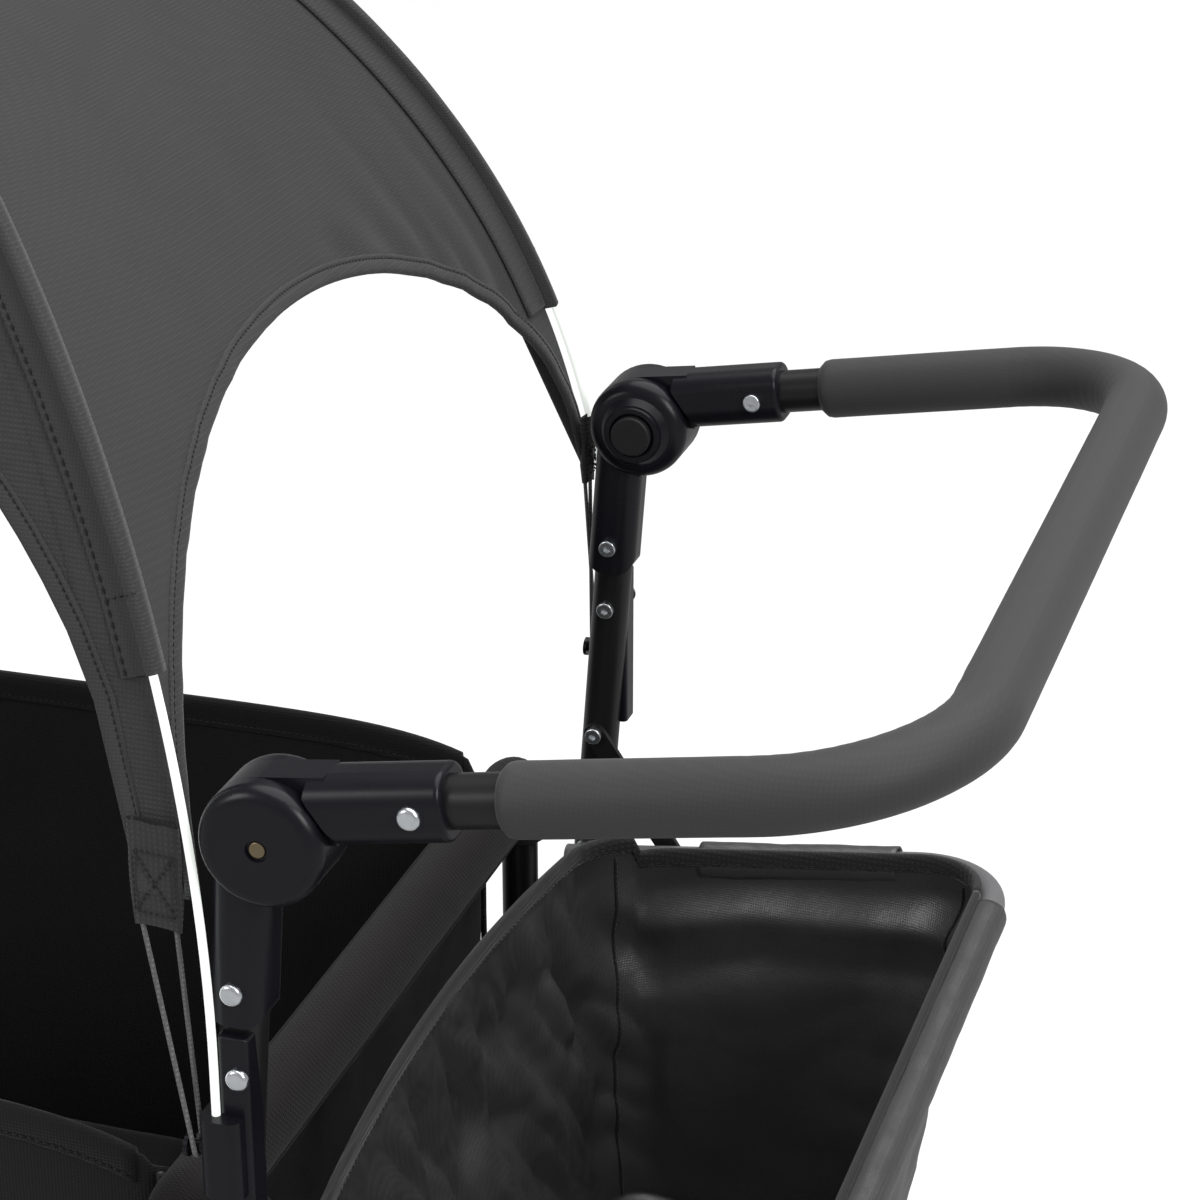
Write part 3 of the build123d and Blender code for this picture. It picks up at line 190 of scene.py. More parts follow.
def stitches(name, route, out, material, pitch=0.0042, length=0.0028, radius=0.00042):
    """A row of thread stitches: small bent capsules along a route; out is the way they stand."""
    seglen = [0.0]
    for a, b in zip(route, route[1:]):
        seglen.append(seglen[-1] + (b - a).length)
    total = seglen[-1]
    bm = bmesh.new()
    count = int(total / pitch)
    j = 0
    for k in range(count):
        here = (k + 0.5) * pitch
        while j < len(seglen) - 2 and seglen[j + 1] < here:
            j += 1
        f = (here - seglen[j]) / max(1e-9, seglen[j + 1] - seglen[j])
        p = route[j].lerp(route[j + 1], f)
        t = (route[j + 1] - route[j]).normalized()
        n = (out[j] if isinstance(out, list) else out).normalized()
        s = t.cross(n).normalized()
        ring_prev = None
        for x, lift, r in STITCH_RINGS:
            centre = p + t * (x * length) + n * (lift * radius)
            ring = [bm.verts.new(centre + (s * cos(a) + n * sin(a)) * radius * r)
                    for a in (q * pi / 3 for q in range(6))]
            if ring_prev:
                for q in range(6):
                    bm.faces.new((ring_prev[q], ring_prev[(q + 1) % 6], ring[(q + 1) % 6], ring[q]))
            else:
                bm.faces.new(list(reversed(ring)))
            ring_prev = ring
        bm.faces.new(ring_prev)
    bmesh.ops.recalc_face_normals(bm, faces=bm.faces)
    mesh = bpy.data.meshes.new(name)
    bm.to_mesh(mesh)
    bm.free()
    return link(name, mesh, material)


def join(name, objects):
    """Joins meshes of one material into one piece."""
    bpy.context.view_layer.update()
    bm = bmesh.new()
    material = objects[0].data.materials[0]
    for o in objects:
        evaluated = o.evaluated_get(bpy.context.evaluated_depsgraph_get())
        m = evaluated.to_mesh()
        bm.from_mesh(m)
        evaluated.to_mesh_clear()
    mesh = bpy.data.meshes.new(name)
    bm.to_mesh(mesh)
    bm.free()
    for o in objects:
        bpy.data.objects.remove(o)
    return link(name, mesh, material)


# ---- materials
LOOKS = {}               # every material by its name, which is its slot's name where it has one


def material(name, color, rough, metallic=0.0, sheen=0.0, specular=0.5):
    mat = LOOKS[name] = bpy.data.materials.new(name)
    mat.use_nodes = True
    shader = mat.node_tree.nodes["Principled BSDF"]
    shader.inputs["Base Color"].default_value = (*color, 1)
    shader.inputs["Roughness"].default_value = rough
    shader.inputs["Metallic"].default_value = metallic
    shader.inputs["Specular IOR Level"].default_value = specular
    shader.inputs["Sheen Weight"].default_value = sheen
    shader.inputs["Sheen Roughness"].default_value = 0.5
    return mat, mat.node_tree, shader


def node(tree, kind, **inputs):
    """A new node with its inputs set; From_Min sets "From Min". A linked input is given as its socket."""
    n = tree.nodes.new(kind)
    for key, value in inputs.items():
        socket = n.inputs[key.replace("_", " ")]
        if isinstance(value, bpy.types.NodeSocket):
            tree.links.new(value, socket)
        else:
            socket.default_value = value
    return n


def coords(tree, scale=(1, 1, 1)):
    where = node(tree, "ShaderNodeTexCoord").outputs["Object"]
    return node(tree, "ShaderNodeMapping", Scale=scale, Vector=where).outputs["Vector"]


def tint(tree, shader, factor, dark, light):
    """Varies the base colour between two tones."""
    mix = node(tree, "ShaderNodeMix")
    mix.data_type = "RGBA"
    tree.links.new(factor, mix.inputs["Factor"])
    mix.inputs["A"].default_value = (*dark, 1)
    mix.inputs["B"].default_value = (*light, 1)
    tree.links.new(mix.outputs["Result"], shader.inputs["Base Color"])


def bumps(tree, shader, heights, distance):
    """Adds bump from one or more (socket, strength) pairs."""
    last = None
    for socket, strength in heights:
        bump = node(tree, "ShaderNodeBump", Strength=strength, Distance=distance, Height=socket)
        if last is not None:
            tree.links.new(last, bump.inputs["Normal"])
        last = bump.outputs["Normal"]
    tree.links.new(last, shader.inputs["Normal"])


def noise_socket(tree, scale, detail=3.0, stretch=(1, 1, 1), rough=0.5):
    n = node(tree, "ShaderNodeTexNoise", Scale=scale, Detail=detail, Roughness=rough,
             Vector=coords(tree, stretch))
    return n.outputs["Fac"]


def ramp(tree, socket, low, high):
    return node(tree, "ShaderNodeMapRange", From_Min=low, From_Max=high, Value=socket).outputs["Result"]


def maths(tree, kind, a, b):
    m = node(tree, "ShaderNodeMath")
    m.operation = kind
    for socket, value in ((m.inputs[0], a), (m.inputs[1], b)):
        if isinstance(value, (int, float)):
            socket.default_value = value
        else:
            tree.links.new(value, socket)
    return m.outputs[0]


def threads(tree, scale, axis):
    w = node(tree, "ShaderNodeTexWave", Scale=scale, Distortion=0.6, Detail=1.0, Detail_Scale=2.0,
             Vector=coords(tree))
    w.bands_direction = axis
    return w.outputs["Fac"]


def weave(tree, pitch, axes):
    """Crossing threads with a pitch in metres."""
    per = 0.05 / pitch * 20 / (2 * pi)
    return maths(tree, "MULTIPLY", threads(tree, per, axes[0]), threads(tree, per, axes[1]))


def uneven_gloss(tree, shader, factor, low, high):
    r = node(tree, "ShaderNodeMapRange", To_Min=low, To_Max=high, Value=factor)
    tree.links.new(r.outputs["Result"], shader.inputs["Roughness"])


def plastic(name, color, rough, grain=1800, dent=0.10, specular=0.28):
    mat, tree, shader = material(name, color, rough, specular=specular)
    fine = noise_socket(tree, grain, 2)
    broad = noise_socket(tree, 30, 4)
    uneven_gloss(tree, shader, broad, rough - 0.06, rough + 0.08)
    tint(tree, shader, broad, [c * 0.85 for c in color], [c * 1.2 for c in color])
    bumps(tree, shader, [(fine, dent)], 0.0001)
    return mat


def painted(name, color, rough):
    mat, tree, shader = material(name, color, rough, specular=0.35)
    peel = noise_socket(tree, 900, 2)
    broad = noise_socket(tree, 18, 4)
    tint(tree, shader, broad, [c * 0.8 for c in color], [c * 1.3 for c in color])
    uneven_gloss(tree, shader, broad, rough - 0.05, rough + 0.07)
    bumps(tree, shader, [(peel, 0.12)], 0.00015)
    return mat


def metal(name, color, rough):
    mat, tree, shader = material(name, color, rough, metallic=1.0)
    broad = noise_socket(tree, 300, 3)
    tint(tree, shader, broad, [c * 0.8 for c in color], [min(1, c * 1.1) for c in color])
    bumps(tree, shader, [(noise_socket(tree, 2500, 2), 0.15)], 0.00008)
    return mat


def cloth(name, color, rough, pitch, axes=("X", "Z"), sheen=0.15, strength=0.5,
          mottle=0.3, slub=0.0, through=0.0, crumple=0.0, specular=0.3):
    """Woven cloth: threads, mottling, optional slubs, light through it, and fine crumples."""
    mat, tree, shader = material(name, color, rough, sheen=sheen, specular=specular)
    knit = weave(tree, pitch, axes)
    broad = noise_socket(tree, 14, 5, rough=0.6)
    tone = maths(tree, "ADD", maths(tree, "MULTIPLY", knit, 0.5), maths(tree, "MULTIPLY", broad, 0.6))
    if slub:
        level = maths(tree, "MULTIPLY", noise_socket(tree, 60, 3, (1.0, 1.0, 9.0), 0.7), slub)
        upright = maths(tree, "MULTIPLY", noise_socket(tree, 60, 3, (9.0, 9.0, 1.0), 0.7), slub * 0.6)
        tone = maths(tree, "ADD", tone, maths(tree, "ADD", level, upright))
    tint(tree, shader, ramp(tree, tone, 0.15, 0.95 + slub),
         [c * (1 - mottle) for c in color], [min(1, c * (1 + mottle)) for c in color])
    heights = [(knit, strength)]
    if crumple:
        heights.append((noise_socket(tree, 55, 6, rough=0.62), crumple))
    bumps(tree, shader, heights, 0.0004 if not crumple else 0.0012)
    if through:
        thin = node(tree, "ShaderNodeBsdfTranslucent", Color=(*[min(1, c * 2.4) for c in color], 1))
        mix = node(tree, "ShaderNodeMixShader", Fac=through)
        tree.links.new(shader.outputs[0], mix.inputs[1])
        tree.links.new(thin.outputs[0], mix.inputs[2])
        tree.links.new(mix.outputs[0], tree.nodes["Material Output"].inputs["Surface"])
    return mat


painted("steel_black", (0.0105, 0.0105, 0.0110), 0.32)
plastic("hub_black", (0.0075, 0.0074, 0.0105), 0.27, specular=0.26)
plastic("button_black", (0.016, 0.0155, 0.0170), 0.42, grain=2600, dent=0.2)
plastic("wheel_plastic", (0.030, 0.030, 0.032), 0.5)
BOARD = plastic("board", (0.02, 0.02, 0.02), 0.7)
metal("brass", (0.26, 0.21, 0.13), 0.38)
metal("zinc", (0.80, 0.83, 0.86), 0.26)
SPRING = metal("spring_steel", (0.45, 0.46, 0.48), 0.3)
metal("axle_steel", (0.42, 0.43, 0.44), 0.35)
plastic("tyre", (0.020, 0.020, 0.021), 0.75, grain=700, dent=0.35)
painted("bag_tube", (0.15, 0.15, 0.155), 0.3)
ROD = plastic("fibreglass", (0.86, 0.88, 0.855), 0.3, grain=3000, dent=0.05, specular=0.5)
FOAM = cloth("foam", (0.047, 0.0465, 0.0475), 0.58, 0.0011,
             sheen=0.10, strength=0.08, mottle=0.10, specular=0.30)
TUB = cloth("tub_cloth", (0.0058, 0.0050, 0.0052), 0.75, 0.0009, sheen=0.08, strength=0.35, crumple=0.12)
SLEEVE = cloth("sleeve_cloth", (0.0105, 0.0086, 0.0090), 0.74, 0.0008, axes=("Y", "DIAGONAL"),
               sheen=0.08, strength=0.7, mottle=0.35, specular=0.2)
BAG = cloth("bag_cloth", (0.046, 0.0455, 0.046), 0.38, 0.0007,
            sheen=0.0, strength=0.10, crumple=0.45, specular=0.9)
WEBBING = cloth("webbing", (0.014, 0.0132, 0.0136), 0.7, 0.0016, sheen=0.2, strength=0.9, mottle=0.4)
CANOPY = cloth("canopy_cloth", (0.066, 0.066, 0.068), 0.66, 0.00075, sheen=0.2, strength=0.4,
               mottle=0.16, through=0.30)
# The side panels are a coarser slub weave of their own. Their base colour is lighter than the end panels', and
# that is painted light: it stands in for the light shining through them.
CANOPY_SIDE = cloth("canopy_side", (0.080, 0.0785, 0.079), 0.68, 0.0011, sheen=0.2, strength=0.8,
                    mottle=0.50, slub=0.75, through=0.45)
BAND = cloth("canopy_band", (0.043, 0.0425, 0.044), 0.66, 0.00085, sheen=0.15, strength=0.5, mottle=0.22)
TAB = cloth("tab_webbing", (0.036, 0.035, 0.036), 0.7, 0.0014, sheen=0.2, strength=0.9, mottle=0.35)
THREAD = cloth("thread", (0.009, 0.0086, 0.009), 0.6, 0.0006, strength=0.5)
ELASTIC = cloth("elastic", (0.16, 0.155, 0.155), 0.6, 0.0012, sheen=0.2, strength=0.8, mottle=0.4)
MAT = cloth("mat_cloth", (0.018, 0.017, 0.018), 0.75, 0.0012, axes=("X", "Y"), sheen=0.15, strength=0.6)

# Painted light: the rods get a faint glow of their own through this emission, though they are no lamp.
rod_glow_shader = ROD.node_tree.nodes["Principled BSDF"]
rod_glow_shader.inputs["Emission Color"].default_value = (0.95, 1.0, 0.95, 1)
rod_glow_shader.inputs["Emission Strength"].default_value = 0.60

for sub in frame["record"]["subparts"]:
    obj = NODES[sub["node"]]
    obj.data.materials.clear()
    obj.data.materials.append(LOOKS[sub["material_slot"]])


def on_fold(piece):
    """A soft or sliding piece, carried by the rear frame with a mesh of its own."""
    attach(piece, "rear_frame")
    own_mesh(piece)
    return piece


def canopy_piece(piece):
    return on_fold(piece)


def tub_piece(piece):
    return on_fold(piece)


# ---- canopy
REAR_ARCH = (0.270, 0.182)     # half width and rise of the arched cut-outs
SIDE_ARCH = (0.400, 0.290)
A_IN, B_IN, H_IN = DOME_A - CLOTH_SET, ROD_Y - CLOTH_SET, DIAGONAL - CLOTH_SET


def panel_point(panel, phi, s):
    """A point of the taut cloth. phi climbs from the corners to the crown, s runs across the panel."""
    kind, sign = panel
    c, z = cos(phi), DOME_Z + H_IN * sin(phi)
    if kind == "end":
        return Vector((MID_X + sign * A_IN * c, s * B_IN * c, z))
    return Vector((MID_X + s * A_IN * c, sign * B_IN * c, z))


def panel_out(panel, phi):
    kind, sign = panel
    if kind == "end":
        n = Vector((sign * cos(phi) / A_IN, 0, sin(phi) / H_IN))
    else:
        n = Vector((0, sign * cos(phi) / B_IN, sin(phi) / H_IN))
    return n.normalized()


def arch_start(panel, s):
    """The phi where the arched cut-out ends, for one s."""
    kind = panel[0]
    reach, rise = REAR_ARCH if kind == "end" else SIDE_ARCH
    low = asin((TAB_Z - DOME_Z) / H_IN)
    if abs(s) > 0.99999:
        return low
    high = radians(89)
    for _ in range(40):
        mid = (low + high) / 2
        p = panel_point(panel, mid, s)
        across = p.y if kind == "end" else p.x - MID_X
        if (across / reach) ** 2 + ((p.z - TAB_Z) / rise) ** 2 < 1:
            low = mid
        else:
            high = mid
    return high


# Soft folds of the end panels: place, width, depth and reach.
END_FOLDS = ((0.36, 0.040, 0.0010, 0.04), (0.52, 0.050, 0.0024, 0.08), (0.66, 0.030, 0.0026, 0.16),
             (0.755, 0.018, 0.0024, 0.10), (0.86, 0.026, 0.0028, 0.20))


def cloth_point(panel, phi, s, t):
    """The cloth with its sag, soft folds and puckers. t is 0 at the arch and 1 at the crown."""
    kind, sign = panel
    p = panel_point(panel, phi, s)
    n = panel_out(panel, phi)
    free = (1 - s * s) * sin(pi * min(1.0, max(0.0, (phi - 0.1) / 1.45))) ** 0.7
    inward = 0.012 * free
    edge = exp(-t / 0.05)
    out = 0.0022 * wave(p, 0.16, sign) * free + 0.0008 * wave(p, 0.05, 2 + sign) * free
    out += 0.0009 * edge * wave(p, 0.016, 5) * (1 - s ** 8)
    if kind == "end":
        for centre, width, depth, reach in END_FOLDS:
            bend = s - centre + (0.75 - 0.7 * centre) * (t - 0.04) + 0.035 * wave((t, 0, centre), 0.07, 4)
            out -= depth * exp(-(bend / width) ** 2) * exp(-((t - 0.05) / reach) ** 2)
        out -= 0.0024 * exp(-((s - 0.30) / 0.06) ** 2 - ((t - 0.05) / 0.04) ** 2)
    else:
        out += 0.0016 * wave((p.x * 3.2, p.y, p.z * 0.5), 0.07, 9) * free
    q = p + n * (out - inward)
    if kind == "side" and sign > 0 and p.z < GATHER_TOP:
        pull = min(1.0, (GATHER_TOP - p.z) / 0.10) ** 1.3 * 0.80
        edge_x = MID_X + copysign(A_IN * cos(phi), s)
        q.x += (edge_x - q.x) * pull
        q.y += 0.004 * pull * sin(40 * (edge_x - p.x))
    return q


GATHER_TOP = 0.885        # below this the far side's corner strips are drawn together
PANELS = (("end", 1), ("end", -1), ("side", 1), ("side", -1))
COLS, ROWS = 84, 96
canopy_bm = bmesh.new()
arch_edges = {}
for panel in PANELS:
    table = []
    for j in range(COLS + 1):
        s = -cos(pi * j / COLS)
        start = arch_start(panel, s)
        column = []
        for i in range(ROWS + 1):
            t = i / ROWS
            phi = start + (pi / 2 - start) * (t ** 1.25)
            column.append(canopy_bm.verts.new(cloth_point(panel, phi, s, t)))
        table.append(column)
    lower = []
    for j in range(COLS + 1):
        p, q = table[j][0].co.copy(), table[j][1].co.copy()
        lower.append((p, (q - p).normalized(), j))
    arch_edges[panel] = lower
    for j in range(COLS):
        for i in range(ROWS):
            face = canopy_bm.faces.new((table[j][i], table[j + 1][i], table[j + 1][i + 1], table[j][i + 1]))
            face.material_index = 0 if panel[0] == "end" else 1
            face.smooth = True
bmesh.ops.remove_doubles(canopy_bm, verts=canopy_bm.verts, dist=0.0002)
bmesh.ops.recalc_face_normals(canopy_bm, faces=canopy_bm.faces)
canopy_mesh = bpy.data.meshes.new("canopy_sheet")
canopy_bm.to_mesh(canopy_mesh)
canopy_bm.free()
canopy = bpy.data.objects.new("canopy_sheet", canopy_mesh)
bpy.context.scene.collection.objects.link(canopy)
canopy_mesh.materials.append(CANOPY)
canopy_mesh.materials.append(CANOPY_SIDE)
crown = max(canopy_mesh.polygons, key=lambda f: f.center.z)
if crown.normal.z < 0:
    canopy_mesh.flip_normals()
thicken(canopy, 0.0008)
canopy_piece(canopy)
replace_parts(canopy, "canopy_fabric")


def binding(panel, name):
    """The folded hem along one arch, with its stitch line and small puckers."""
    rows = []
    seam, seam_out = [], []
    width = 0.0095
    lower = arch_edges[panel]
    for k, (p, up, j) in enumerate(lower):
        left, right = lower[max(0, k - 1)][0], lower[min(len(lower) - 1, k + 1)][0]
        along = (right - left).normalized()
        outward = panel_out(panel, arch_start(panel, -cos(pi * j / COLS)))
        across = outward.cross(along).normalized()
        if across.z < 0 and abs(across.z) > 0.2 or across.dot(up) < 0:
            across = -across
        ease = min(1.0, k / 5, (len(lower) - 1 - k) / 5)
        w = width * (0.55 + 0.45 * ease)
        pucker = 0.0005 * wave(p, 0.011, 3) + 0.0003 * wave(p, 0.006, 4)
        rows.append((p, across, outward, w, pucker))
        seam.append(p + across * (w * 0.72) + outward * (0.0012 + pucker))
        seam_out.append(outward)
    profile = [(-0.10, 0.0002), (-0.06, 0.0013), (0.15, 0.0019), (0.45, 0.0017),
               (0.66, 0.0013), (0.72, 0.0008), (0.78, 0.0013), (0.96, 0.0014),
               (1.0, 0.0004), (1.0, -0.0012), (0.78, -0.0020), (0.72, -0.0015),
               (0.66, -0.0020), (0.15, -0.0026), (-0.06, -0.0020), (-0.10, -0.0008)]
    grid_rows = [[p + a * (u * w) + o * (v + pk * (1 if v > 0 else 0.4)) for u, v in profile]
                 for p, a, o, w, pk in rows]
    return grid(name, grid_rows, BAND, close_cols=True), stitches(
        name + "_stitches", seam, seam_out, THREAD, pitch=0.0034, length=0.0024, radius=0.00032)


NAMES = {("end", 1): "rear", ("end", -1): "front", ("side", 1): "left", ("side", -1): "right"}
for panel in PANELS:
    band, sewn = binding(panel, "canopy_binding_" + NAMES[panel])
    canopy_piece(band)
    canopy_piece(sewn)


def rod_point(hand, lift, theta, radius=DIAGONAL):
    """hand is the side of the rod's rear foot."""
    along = Vector((-DOME_A, -hand * ROD_Y, 0)).normalized()
    centre = Vector((MID_X, 0, DOME_Z + lift))
    return centre - along * (radius * cos(theta)) + Vector((0, 0, radius * sin(theta)))


rods = []
for hand, lift in ((1, 0.0), (-1, ROD_CROSSING)):
    foot_z = 0.6225
    arc = [rod_point(hand, lift, a) for a in np.linspace(0, pi, 121)]
    rise = np.linspace(foot_z, DOME_Z + lift, 6)[:-1]
    points = [Vector((arc[0].x, arc[0].y, z)) for z in rise] + arc
    points += [Vector((arc[-1].x, arc[-1].y, z)) for z in reversed(rise)]
    flat_way = Vector((0.5, 0.7, 0.05)).cross(Vector((0, 0, 1)))
    rods.append(tube("rod", points, 0.002, ROD, sides=14, up=flat_way))
rods = join("canopy_rods_bent", rods)
canopy_piece(rods)
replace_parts(rods, "canopy_rods")


def rod_sleeve(hand, lift, rear, name):
    """Half a sleeve, from its open hem to the crown, with the flange sewn on the side panel."""
    start = asin((SLEEVE_FROM - DOME_Z - lift) / DIAGONAL)
    steps = 90
    edges, seam, seam_out = [], [], []
    for k in range(steps + 1):
        theta = start + (pi / 2 - start) * k / steps
        if not rear:
            theta = pi - theta
        p = rod_point(hand, lift, theta)
        side_sign = hand if rear else -hand
        phi = theta if rear else pi - theta
        radial = (rod_point(hand, lift, theta, 1.0) - Vector((MID_X, 0, DOME_Z + lift))).normalized()
        inward = Vector((-1 if rear else 1, 0, 0))
        side_out = panel_out(("side", side_sign), phi)
        tangent = (rod_point(hand, lift, theta + 0.01) - p).normalized()
        inward = (inward - tangent * inward.dot(tangent)).normalized()
        face = inward.cross(tangent).normalized()
        if face.dot(side_out) < 0:
            face = -face
        crown = max(0.0, (theta if rear else pi - theta) / (pi / 2) - 0.75) * 4
        inward = (inward * (1 - crown)).normalized() if crown < 1 else inward
        radial = face.lerp(radial, crown * 0.5).normalized()
        fade = min(1.0, (steps - k) / 14 + 0.15)
        edges.append((p, inward, radial, fade))
    rows = []
    for p, a, o, fade in edges:
        w = 0.0175 * fade
        r = 0.0031 + 0.00025 * wave(p, 0.02, 6)
        flutter = 0.0006 * wave(p, 0.03, 8)
        floor = -0.0046 - lift * 0.35
        lift_mid = floor + 0.0016 + flutter
        ring = [(-0.0036, floor - 0.0003), (-0.0036, -0.0018), (-0.0030, 0.0008), (-0.0018, r * 0.80), (0.0, r),
                (0.0018, r * 0.80), (0.0031, 0.0006), (0.0040, -0.0018), (0.0052, lift_mid + 0.0008),
                (w * 0.6, lift_mid + 0.0006), (w - 0.0032, lift_mid + 0.0003),
                (w - 0.0026, lift_mid - 0.0003), (w - 0.0020, lift_mid + 0.0002),
                (w, lift_mid), (w + 0.0002, floor - 0.0004)]
        rows.append([p + a * u + o * v for u, v in ring])
        seam.append(p + a * (w - 0.0026) + o * (lift_mid + 0.0002))
        seam_out.append(o)
    body = grid(name, rows, BAND, close_cols=True)
    sewn = stitches(name + "_stitches", seam, seam_out, THREAD, pitch=0.0052, length=0.0036, radius=0.00048)
    # A row of stitches round the open end.
    hem = stitches(name + "_hem", [Vector(q) for q in rows[5][2:13]], edges[5][2], THREAD,
                   pitch=0.0034, length=0.0024, radius=0.0004)
    return body, sewn, hem


sleeve_parts, sleeve_threads = [], []
for hand, lift in ((1, 0.0), (-1, ROD_CROSSING)):
    for rear in (True, False):
        body, *threads_on = rod_sleeve(hand, lift, rear, f"sleeve_{hand}_{rear}")
        sleeve_parts.append(body)
        sleeve_threads += threads_on
sleeves = join("canopy_rod_sleeves", sleeve_parts)
sleeve_stitching = join("canopy_sleeve_stitches", sleeve_threads)
canopy_piece(sleeves)
canopy_piece(sleeve_stitching)

# A flat band beside the far rods, on the end panels.
for end in (1, -1):
    band_rows = []
    for k in range(91):
        low = asin((SLEEVE_FROM - DOME_Z) / H_IN)
        phi = low + (radians(86) - low) * k / 90
        half = max(0.02, B_IN * cos(phi))
        row = []
        for q in range(9):
            s = 1 - 0.001 - min(0.9, (0.024 * q / 8) / half)
            start = arch_start(("end", end), s)
            t = max(0.0, (phi - start) / (pi / 2 - start)) ** 0.8
            skin = cloth_point(("end", end), phi, s, t)
            edge = 0.0007 if q in (0, 8) else 0.0012
            row.append(skin + panel_out(("end", end), phi) * edge)
        band_rows.append(row)
    canopy_piece(grid("canopy_side_band_" + NAMES[("end", end)], band_rows, BAND, thick=0.0006))

# Crown patch over the crossing.
patch_rows = []
for i in range(9):
    row = []
    r = 0.032 * i / 8
    for k in range(32):
        a = 2 * pi * k / 32
        z = DOME_Z + DIAGONAL + ROD_CROSSING + 0.0035 - 0.0045 * (i / 8) ** 2
        row.append(Vector((MID_X + r * 1.2 * cos(a), r * sin(a), z)))
    patch_rows.append(row)
canopy_piece(grid("canopy_crown_patch", patch_rows, BAND, close_cols=True, thick=0.001))

# Corner tabs with box stitching, and the elastic loops to the holders' pegs.
TAB_SECTION = ((-1, 0.0004), (-0.97, 0.0016), (-0.5, 0.0021), (0, 0.0023), (0.5, 0.0021),
               (0.97, 0.0016), (1, 0.0004), (0.9, -0.0016), (0, -0.0022), (-0.9, -0.0016))
PEG_Z = 0.634
CORD_WRAP = 0.0043       # radius of a loop round its peg
tab_parts, tab_threads = [], []
rear_cords, front_cords = [], []
for side in (1, -1):
    for rear in (1, -1):
        low_phi = asin((TAB_Z - DOME_Z) / H_IN)
        corner = panel_point(("side", side), low_phi, float(rear))
        towards = Vector((-rear * 1.0, -side * 0.12, 0)).normalized()
        outward = Vector((rear * 0.12, side * 1.0, 0)).normalized()
        gathered = side > 0
        if gathered:
            towards = Vector((-rear * 0.22, -side * 0.97, 0)).normalized()
            outward = Vector((rear * 0.97, -side * 0.22, 0)).normalized()
        origin = corner + towards * (0.004 if gathered else 0.017) + outward * 0.0012
        rows = []
        for i in range(13):
            v = (-0.008 if gathered else -0.016) + (0.040 if gathered else 0.050) * i / 12
            half = (0.0060 if gathered else 0.0135) - 0.0015 * (1 - min(1, i / 3))
            row = []
            for u, o in TAB_SECTION:
                quilt = 0.0004 * cos(u * 6.2) * cos(i * 1.05)
                rise = Vector((0, 0, v - abs(u) * 0.0015 * (i < 2)))
                row.append(origin + towards * (u * half) + outward * (o + quilt) + rise)
            rows.append(row)
        tab_parts.append(grid("tab", rows, TAB, close_cols=True))
        box_low, box_high, half = (-0.003, 0.020, 0.0042) if gathered else (-0.010, 0.020, 0.0105)
        c = [origin + towards * (u * half) + outward * 0.0027 + Vector((0, 0, v))
             for u, v in ((-1, box_low), (1, box_low), (1, box_high), (-1, box_high))]
        for a, b in ((0, 1), (1, 2), (2, 3), (3, 0), (0, 2), (1, 3)):
            route = [c[a].lerp(c[b], f / 6) for f in range(7)]
            tab_threads.append(stitches("thread", route, outward, THREAD, pitch=0.0030, length=0.0023))
        # The elastic goes down from the tab, round the peg and up again.
        foot_x = REAR_X - 0.016 - 0.0096
        peg = Vector((foot_x if rear > 0 else 2 * MID_X - foot_x, side * ROD_Y, PEG_Z))
        drop = []
        spread = 0.35 if gathered else 1.0
        hang = Vector((0, 0, -0.004 if gathered else -0.012))
        top_a = origin + towards * 0.0095 * spread + hang
        top_b = origin - towards * 0.0085 * spread + hang
        drop.append(top_a)
        bottom_a = peg + Vector((0, side * CORD_WRAP, 0.0))
        bottom_b = peg + Vector((0, -side * CORD_WRAP, 0.0))
        for f in np.linspace(0.05, 1, 16):
            drop.append(top_a.lerp(bottom_a, f))
        for angle in np.linspace(0, pi, 13)[1:]:
            drop.append(peg + Vector((0, side * CORD_WRAP * cos(angle), -CORD_WRAP * sin(angle))))
        for f in np.linspace(0, 0.95, 16)[1:]:
            drop.append(bottom_b.lerp(top_b, f))
        drop.append(top_b)
        cords = rear_cords if rear > 0 else front_cords
        cords.append(tube("cord", drop, 0.00115, ELASTIC, sides=10, up=Vector((1, 0.2, 0))))
tabs = join("canopy_corner_tabs", tab_parts)
tab_stitching = join("canopy_tab_stitches", tab_threads)
rear_loops = join("canopy_elastic_loops_rear", rear_cords)
front_loops = join("canopy_elastic_loops_front", front_cords)
canopy_piece(tabs)
canopy_piece(tab_stitching)
for loops, body_name in ((rear_loops, "rear_frame"), (front_loops, "front_frame")):
    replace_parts(ride_as(loops, body_name), "canopy_elastics")

# ---- push bar foam
bar_up = Vector((-sin(ARM_RISE), 0, cos(ARM_RISE)))
foot = Vector((0.31608, 0, 0.78977)) + bar_up * 0.012     # the push bar's axis at the hub
arm_dir = Vector((cos(ARM_RISE), 0, sin(ARM_RISE)))
GRIP_FROM, ARM_REACH, BEND, POST_Y = 0.1087, 0.297, 0.080, 0.269


def bar_route():
    pts = []
    for d in np.linspace(GRIP_FROM, ARM_REACH - BEND, 40):
        pts.append(foot + arm_dir * d + Vector((0, -POST_Y, 0)))
    centre = foot + arm_dir * (ARM_REACH - BEND) + Vector((0, -POST_Y + BEND, 0))
    for a in np.linspace(0, pi / 2, 40)[1:]:
        pts.append(centre + arm_dir * (BEND * sin(a)) + Vector((0, -BEND * cos(a), 0)))
    mirrored = [Vector((p.x, -p.y, p.z)) for p in reversed(pts)]
    middle = [pts[-1].lerp(mirrored[0], f) for f in np.linspace(0, 1, 60)[1:-1]]
    return pts + middle + mirrored


route = bar_route()


